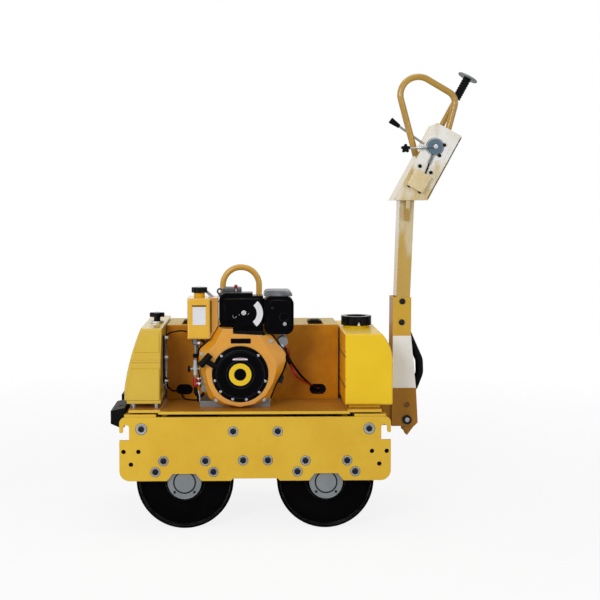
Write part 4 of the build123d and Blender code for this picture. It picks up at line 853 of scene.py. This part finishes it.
# the hoses from the cock to the injection pump, and the leak-off hose over the shroud
side_route = route_from(cock_top, ((0, 0, -236), (4, 0, -256), (20, 6, -266), (38, 14, -252)))
pump_route = route_from(cock_top, ((8, -2, -236), (14, -2, -262), (14, 2, -286)))
build("pump_hose", black_rubber, (add_tube, side_route, 6.5), (add_tube, pump_route, 7.5))
build("pump_hose_stripe", clear_plastic, (add_tube, [point + mm(5, -5.4, 0) for point in pump_route], 2.4))

cleaner_low, cleaner_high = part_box("air_cleaner")
hose_start = cleaner_low + mm(16, 62, 40)
breather_points = (
    (0, 0, 0), (-14, -6, -26), (-40, -12, -66), (-68, -10, -92),
    (-92, -4, -108), (-104, 8, -126), (-106, 16, -150),
)
build("breather_hose", black_rubber, (add_tube, route_from(hose_start, breather_points), 7))
leak_off_points = (
    (-92, 0, -108), (-106, -2, -122), (-112, 0, -150), (-110, 4, -200), (-104, 8, -240), (-98, 16, -290),
)
build("leak_off_hose", black_rubber, (add_tube, route_from(hose_start, leak_off_points), 3))

# ---- air cleaner
cleaner_x = (cleaner_low.x + cleaner_high.x) / 2 + 11.6 * MM
cleaner_z = cleaner_low.z + 87.3 * MM


def on_cleaner(x, z):
    """The point on the air cleaner's front at a place in mm from its nut."""
    return touch("air_cleaner", cleaner_x + x * MM, cleaner_z + z * MM)


wing_nut = on_cleaner(0, 0)
wing = ((10.5, -1), (10.5, 1.2), (9.4, 2.2), (7.2, 2.4), (6.8, 4.6), (5.8, 6), (0, 6.4))
turned("cleaner_nut", chrome, [wing_nut], wing, 28)
nut_slot = rounded(10, 2, 0.6)
plate("cleaner_nut_slot", dark_steel, wing_nut + mm(0, -5.6, 0), nut_slot, 1.2, 0.2, (1, 0, 0.35))
# small bright marks on the cleaner's cover: painted highlights of its dimples
glint = rounded(8, 1.5, 0.6)
glint_marks = (
    (-20, -8, (0.5, 0, -1), glint),
    (21, -4, (0.5, 0, 1), glint),
    (-40, -14, (0.5, 0, -1), sector(7, 8.4, -150, 60)),
)
glints = [
    (add_prism, on_cleaner(x, z), FRONT, across, outline, 0.5, 0.1) for x, z, across, outline in glint_marks
]
build("cleaner_glints", bare_steel, *glints)
plate("cleaner_plate", blank_label, on_cleaner(11, -1.8), sector(46, 73, -52, 47), 0.7, 0.2)
# a black strip filling the gap under the air cleaner: painted shade of the gap
plate("cleaner_gap_shade", black_plastic, shroud_front + mm(42, 22, 178), rounded(132, 18, 3), 12, 1)

# ---- muffler
muffler_low, muffler_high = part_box("muffler")
clamp_screw = touch("muffler", muffler_high.x - 40 * MM, muffler_low.z + 47 * MM)
turned("muffler_screw", bare_steel, [clamp_screw], scaled(large_screw, 0.8), 20)
stud = touch("muffler", muffler_high.x - 94 * MM, muffler_high.z - 50 * MM)
turned("muffler_stud", dark_steel, [stud], screw, 14)

# ---- cylinder head
head_low, head_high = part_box("cylinder_head")
head_corner = Vector((head_low.x, head_low.y, head_high.z))
lever_start = head_corner + mm(-46, -6, -14)
lever_end = head_corner + mm(8, -6, -62)
lever_way = (lever_end - lever_start).normalized()
lever_middle = (lever_start + lever_end) / 2
plate("decompression_lever", bare_steel, lever_middle, rounded(76, 13, 6), 4, 0.8, lever_way)
lever_bolts = [lever_start + mm(9, -4, -8), lever_end + mm(-9, -4, 8)]
turned("lever_bolts", bare_steel, lever_bolts, screw, 6)
oil_spot = head_corner + mm(86, 4, -28)
head_fittings = (
    ((0, 0, 0), ((10, -12), (10, 0), (7, 2), (3.6, 4), (3.6, 26), (0, 26))),
    ((-26, 0, -8), ((9, -10), (9, 6), (5, 8), (5, 16), (0, 17))),
    ((-52, 2, -4), ((8, -10), (8, 4), (4, 6), (4, 12), (0, 12))),
)
fittings = [(add_turned, oil_spot + mm(*offset), UP, profile, 6) for offset, profile in head_fittings]
build("head_fittings", chrome, *fittings)
gusset_outline = ((-22, -12), (20, -12), (4, 14), (-4, 14))
plate("head_gusset", bare_steel, oil_spot + mm(-34, -6, -14), gusset_outline, 4, 0.8)
red_cap = ((4, 24), (7.2, 25), (8, 30), (7.4, 39), (5, 42), (0, 43))
turned("head_red_cap", red_plastic, [oil_spot], red_cap, 18, axis=UP, slot="black_plastic")

# ---- starter motor
motor_spot = front_middle("starter_motor")
motor = ((20.5, -1), (20.5, 2), (19, 5), (16, 8), (12, 10.5), (7, 12), (0, 12.6))
turned("motor_cap", motor_silver, [motor_spot], motor, 36)
cover_low, cover_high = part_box("cover")
wire_joint = Vector((150 * MM, motor_spot.y + 34 * MM, 724 * MM))
wire_bend = Vector((192 * MM, motor_spot.y + 60 * MM, 642 * MM))
wire_end = Vector((296 * MM, cover_low.y - 4 * MM, 572 * MM))
wires = []
for start, swing in ((mm(12, 8, 12), 8), (mm(16, 14, -4), -7)):
    aside = mm(swing * 0.4, 0, 0)
    wire = [
        motor_spot + start,
        motor_spot + mm(34 + swing, 20, -14),
        wire_joint + aside + mm(0, 0, 6),
        wire_joint + aside + mm(14, 8, -36),
        wire_bend + aside,
        wire_end + mm(-22, 4, 6),
        wire_end,
    ]
    wires.append((add_tube, smooth_route(wire), 2.8))
build("red_wire", red_plastic, *wires, slot="black_rubber")
plug_way = (wire_bend - wire_joint).normalized()
plug = ((5, -26), (9, -24), (9, -4), (7, -2), (7, 2), (9, 4), (9, 18), (5, 20))
turned("wire_plug", black_plastic, [wire_joint], plug, 12, axis=plug_way)
strap_outline = ((-66, -13), (-34, -14), (-30, -7), (30, -6), (30, 6), (-30, 7), (-34, 14), (-66, 13))
plate("engine_strap", dark_steel, shroud_front + mm(190, 60, 16), strap_outline, 6, 1, (0.28, 0, 1))

# ==== cover and deck
for name, x in (("latch_front", -303), ("latch_rear", 282)):
    latch_base = Vector((x * MM, cover_low.y + 147 * MM, cover_high.z - 1 * MM))
    build(
        name, black_plastic,
        (add_prism, latch_base, UP, RIGHT, rounded(64, 82, 5), 8, 1.5),
        (add_prism, latch_base + mm(0, -8, 7), UP, RIGHT, rounded(42, 52, 6), 6, 2),
    )

sleeve_up = 569 * MM
oval_outer = rounded(75, 46, 22.9, 10)
oval_inner = rounded(62, 33, 16.4, 10)
sleeve_rings = ((oval_outer, 0.5), (oval_outer, -2.6), (oval_inner, -3.4), (oval_inner, 22))
for name, x in (("sleeve_front", -323.5), ("sleeve_rear", 289.5)):
    centre = Vector((x * MM, cover_low.y, sleeve_up))
    build(
        name, black_rubber,
        (add_loops, collar(centre, sleeve_rings)),
        # the black plate 8 mm in closes the hole: painted shade of the cover's inside
        (add_prism, centre + mm(0, 8, 0), FRONT, RIGHT, oval_inner, 2, 0.4),
    )

# ==== front tank
front_low, front_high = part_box("front_tank")
gauge_low = Vector((front_high.x, front_low.y, front_low.z)) + mm(10, 26, 96)
gauge_middle = gauge_low + mm(-8, 0, 95)
build("level_gauge", black_plastic, (add_prism, gauge_middle, RIGHT, BACK, rounded(26, 214, 8), 9, 2))
# raised panels and a rib on each end of the tank
panel_sunk = 10
panel_depth = 15
panel_slope = 6
rib_up = 735 * MM
upper_panel = ((-500, 862), (-416, 862), (-416, 772), (-527, 772), (-514, 820))
lower_panel = ((-540, 706), (-416, 706), (-416, 562), (-563, 562), (-556, 640))
embossing = []
for side, end_y in ((-1, front_low.y), (1, front_high.y)):
    for outline in (upper_panel, lower_panel):
        middle = (-480, sum(z for x, z in outline) / len(outline))
        spot = Vector((middle[0] * MM, end_y - side * panel_sunk * MM, middle[1] * MM))
        embossing.append(end_plate(spot, side, outline[::side], middle, panel_depth, panel_slope))
    rib = [Vector((x * MM, end_y, rib_up)) for x in (-538, -414)]
    embossing.append((add_tube, rib, 6))
build("tank_embossing", emboss_paint, *embossing)
gauge = ((9, 0), (9, 8), (7, 10), (7, 15), (4, 17), (0, 17))
gauge_sizes = ((0, 0.7), (104, 0.9), (190, 0.9))  # mm up from the lowest, scale
fittings = [
    (add_turned, gauge_low + mm(0, 0, up), RIGHT, scaled(gauge, size), 6) for up, size in gauge_sizes
]
build("gauge_fittings", bare_steel, *fittings)

# ==== rear tank
rear_low, rear_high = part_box("rear_tank")
# bars of a darker brown along the tank's −X face: painted shade of two V-grooves
groove_outline = ((-0.9, -6), (6, 0), (-0.9, 6))
groove_over = 0.8  # how far a groove goes past each end of the tank, mm
groove_length = (rear_high.y - rear_low.y) / MM + 2 * groove_over
grooves = []
for height in (622, 754):
    groove_start = Vector((rear_low.x, rear_low.y - groove_over * MM, height * MM))
    grooves.append((add_prism, groove_start, BACK, RIGHT, groove_outline, groove_length, 0.1))
build("tank_notches", groove_shade_paint, *grooves, slot="tank_plastic")

lid_low, lid_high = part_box("tank_lid")
# a white triangle on the lid
triangle_spot = touch("tank_lid", (lid_low.x + lid_high.x) / 2 + 6 * MM, lid_low.z + 22 * MM) + mm(0, 2, -4)
plate("lid_white_triangle", blank_label, triangle_spot, ((-7, -8), (7, -8), (0, 9)), 3.5, 0.8, slot="black_plastic")

# ==== drawbar
pivot = joints["drawbar_fold"]
panel_outline = ((-65.4, 386), (17.6, 386), (40.6, 146), (-66.6, 146))
panel_middle = (-20, 266)
for side, side_name in named_sides:
    spot = touch("drawbar_base", pivot.x + panel_middle[0] * MM, pivot.z + panel_middle[1] * MM, side)
    panel = end_plate(spot, side, panel_outline, panel_middle, 0.6, 0.2)
    build(f"panel_{side_name}", bare_plate, panel, slot="frame_paint", body="handle")
cheek_bolts = [
    touch("drawbar_base", pivot.x + x * MM, pivot.z + z * MM, side)
    for x, z in ((-22.9, 543.6), (-25.1, 447.6))
    for side in both_sides
]
cheek_bolt = ((14, -1), (14, 1.4), (12.6, 2.2), (11.4, 2.6), (11.2, 7.6), (9.6, 9), (0, 9.2))
turned("cheek_bolts", dark_steel, cheek_bolts, cheek_bolt, 24, slot="black_steel", body="handle")
pin_ends = [(pivot.x, corner.y, pivot.z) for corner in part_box("pivot_pin")]
pin = ((11, -1), (11, 1.5), (9.4, 3), (5, 3.2), (4.6, 1.8), (0, 1.8))
turned("pin_centres", bare_steel, pin_ends, pin, 24)

# ==== console
dial = front_middle("throttle_dial")
console_lean = radians(28.6)
console_up = Vector((sin(console_lean), 0, cos(console_lean)))
console_across = Vector((cos(console_lean), 0, -sin(console_lean)))


def by_dial(up, across):
    """The point on the console's near face at a place in mm from the dial."""
    spot = dial + console_up * up * MM + console_across * across * MM
    return touch("console", spot.x, spot.z)


lever_low, lever_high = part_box("throttle_lever")
dial_bolt = ((11, -0.5), (11, 1.5), (9.8, 2.4), (7, 2.6), (6.8, 7), (5.4, 8.4), (0, 8.6))
hub_spot = Vector((dial.x, lever_low.y, dial.z))
turned("dial_bolt", chrome, [hub_spot], dial_bolt, 6, body="handle")
bracket_spot = Vector((dial.x, by_dial(-20, 40).y, dial.z))
bracket_outline = arc(44, 40, 232, 28) + [(-26, -50), (30, -58), (66, -30), (60, 26)]
plate("dial_bracket", bare_plate, bracket_spot, bracket_outline, 3, 0.8, console_across, body="handle")
dial_groove = ((41.2, -0.4), (41.2, 0.8), (40.4, 1.3), (39.6, 0.8), (39.6, -0.4))
turned("dial_rim", dark_steel, [bracket_spot - mm(0, 2.8, 0)], dial_groove, 64, body="handle")
box_places = ((27.5, 34), (-25, 37), (-109, -18), (-111, 40), (-210, -19), (-211, 37))
console_bolts = [by_dial(*place) for place in box_places]
box_bolt = ((9, -1), (9, 4.5), (8, 5.5), (7.4, 5.8), (7.2, 10), (5.8, 11.4), (0, 11.6))
turned("console_bolts", black_plastic, console_bolts, box_bolt, 6, slot="black_steel", body="handle")

clevis_spot = Vector((dial.x - 58 * MM, (lever_low.y + lever_high.y) / 2, dial.z - 4 * MM))
clevis = ((7, -18), (8.5, -16), (8.5, 14), (6, 18), (5.6, 30), (5, 31))
turned("lever_clevis", bare_steel, [clevis_spot], clevis, 14, axis=(-1, 0, -0.07), body="handle")

cable_low, cable_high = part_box("throttle_cable")
cable_y = (cable_low.y + cable_high.y) / 2
cable_top = Vector((cable_high.x, cable_y, cable_high.z))
cable_way = (Vector((cable_low.x, cable_y, cable_low.z)) - cable_top).normalized()
spring_side, spring_out = square_to(cable_way, BACK)
spring_radius = 7
spring_start = 4
spring_length = 44
coil_turns = 9
turn_steps = 14
coil = []
for i in range(coil_turns * turn_steps + 1):
    turn = 2 * pi * i / turn_steps
    along = spring_start + spring_length * i / (coil_turns * turn_steps)
    out = (spring_side * cos(turn) + spring_out * sin(turn)) * spring_radius
    coil.append(cable_top + (cable_way * along + out) * MM)
build("cable_spring", bare_steel, (add_tube, coil, 1.5, 6), body="handle")

console_seam = [by_dial(up, 84) - mm(0, 0.4, 0) for up in (92, -222)]
build("console_seam", black_rubber, (add_tube, console_seam, 1.8, 8), body="handle")

tab_middle = touch("drawbar_column", 690 * MM, 1391 * MM)
plate("console_tab", pipe_paint, tab_middle, rounded(92, 20, 9.5), 4, 1.2, UP, body="handle")


# ==== stage
floor_radius = 9
floor_solid_radius = 1.4
floor_fade_radius = 4.5
floor_glow = 0.86


def mix_shaders(tree, share, first, second):
    """The output of a mix of two shaders; the first shows where the share is 0."""
    node = tree.nodes.new("ShaderNodeMixShader")
    for socket, output in zip(node.inputs, (share, first, second)):
        tree.links.new(output, socket)
    return node.outputs[0]


def make_floor_material():
    """A pale matt floor that fades out, so that the white background meets it without a line."""
    material, tree, shader, place = new_material("studio_floor")
    speckle = noise_at(tree, place, 60)
    tint = blend_colours(tree, speckle, rgb(252, 252, 252), rgb(249, 249, 250))
    tree.links.new(tint, shader.inputs["Base Color"])
    shader.inputs["Roughness"].default_value = 0.85
    shader.inputs["Specular IOR Level"].default_value = 0.1
    distance = tree.nodes.new("ShaderNodeVectorMath")
    distance.operation = "LENGTH"
    tree.links.new(place, distance.inputs[0])
    fade = ramp_between(tree, distance.outputs["Value"], floor_solid_radius, floor_fade_radius)
    glow = add_node(tree, "ShaderNodeEmission", Color=(1, 1, 1, 1), Strength=1.0).outputs[0]
    rays = tree.nodes.new("ShaderNodeLightPath")
    share = times(tree, rays.outputs["Is Camera Ray"], floor_glow)
    lit = mix_shaders(tree, share, shader.outputs[0], glow)
    clear = tree.nodes.new("ShaderNodeBsdfTransparent").outputs[0]
    tree.links.new(mix_shaders(tree, fade, lit, clear), tree.nodes["Material Output"].inputs["Surface"])
    return material


floor_mesh = bpy.data.meshes.new("studio_floor")
floor_shape = bmesh.new()
bmesh.ops.create_circle(floor_shape, cap_ends=True, segments=96, radius=floor_radius)
floor_shape.to_mesh(floor_mesh)
floor_shape.free()
floor = add_object("studio_floor", floor_mesh)
floor.location.z = cad_low.z - 0.5 * MM
floor_mesh.materials.append(make_floor_material())


# ==== light
def area_light(name, place, aim, size, power):
    """A soft box at a place, turned to a point."""
    light = bpy.data.lights.new(name, "AREA")
    light.shape = "RECTANGLE"
    light.size, light.size_y = size
    light.energy = power
    lamp = add_object(name, light)
    lamp.location = place
    lamp.rotation_euler = (Vector(aim) - Vector(place)).to_track_quat("-Z", "Y").to_euler()


body_middle = (0.1, 0, 0.75)
area_light("key_light", (-2, -4.8, 3), body_middle, (1.6, 1.6), 100)
area_light("fill_light", (3.6, -4.2, 2), body_middle, (0.9, 2.4), 40)
area_light("top_light", (0.2, 0.2, 4.4), body_middle, (3, 2.4), 40)
area_light("strip_light", (-2.6, -2.6, 1.3), body_middle, (0.12, 2.2), 12)

scene = bpy.context.scene
world = bpy.data.worlds.new("studio")
scene.world = world
world.use_nodes = True
sky = world.node_tree
background = sky.nodes["Background"]
rays = sky.nodes.new("ShaderNodeLightPath")
seen = calculate(sky, "MAXIMUM", rays.outputs["Is Camera Ray"], rays.outputs["Is Transmission Ray"])
seen = calculate(sky, "MAXIMUM", seen, rays.outputs["Is Glossy Ray"])
ambient_strength = 0.3
backdrop_strength = times(sky, seen, 1.0 - ambient_strength)
backdrop_strength = calculate(sky, "ADD", backdrop_strength, ambient_strength)
background.inputs["Color"].default_value = (1, 1, 1, 1)
sky.links.new(backdrop_strength, background.inputs["Strength"])
scene.view_settings.view_transform = "Standard"

# ==== camera
optics = bpy.data.cameras.new("camera")
optics.lens = 67.28
optics.sensor_width = 36
optics.shift_x = 0.05
optics.shift_y = -0.1
optics.clip_end = 80
camera = add_object("camera", optics)
camera.location = (-0.033, -5.176, 1.41)
camera.rotation_euler = (radians(90 - 1.713), 0, radians(-1.141))
scene.camera = camera
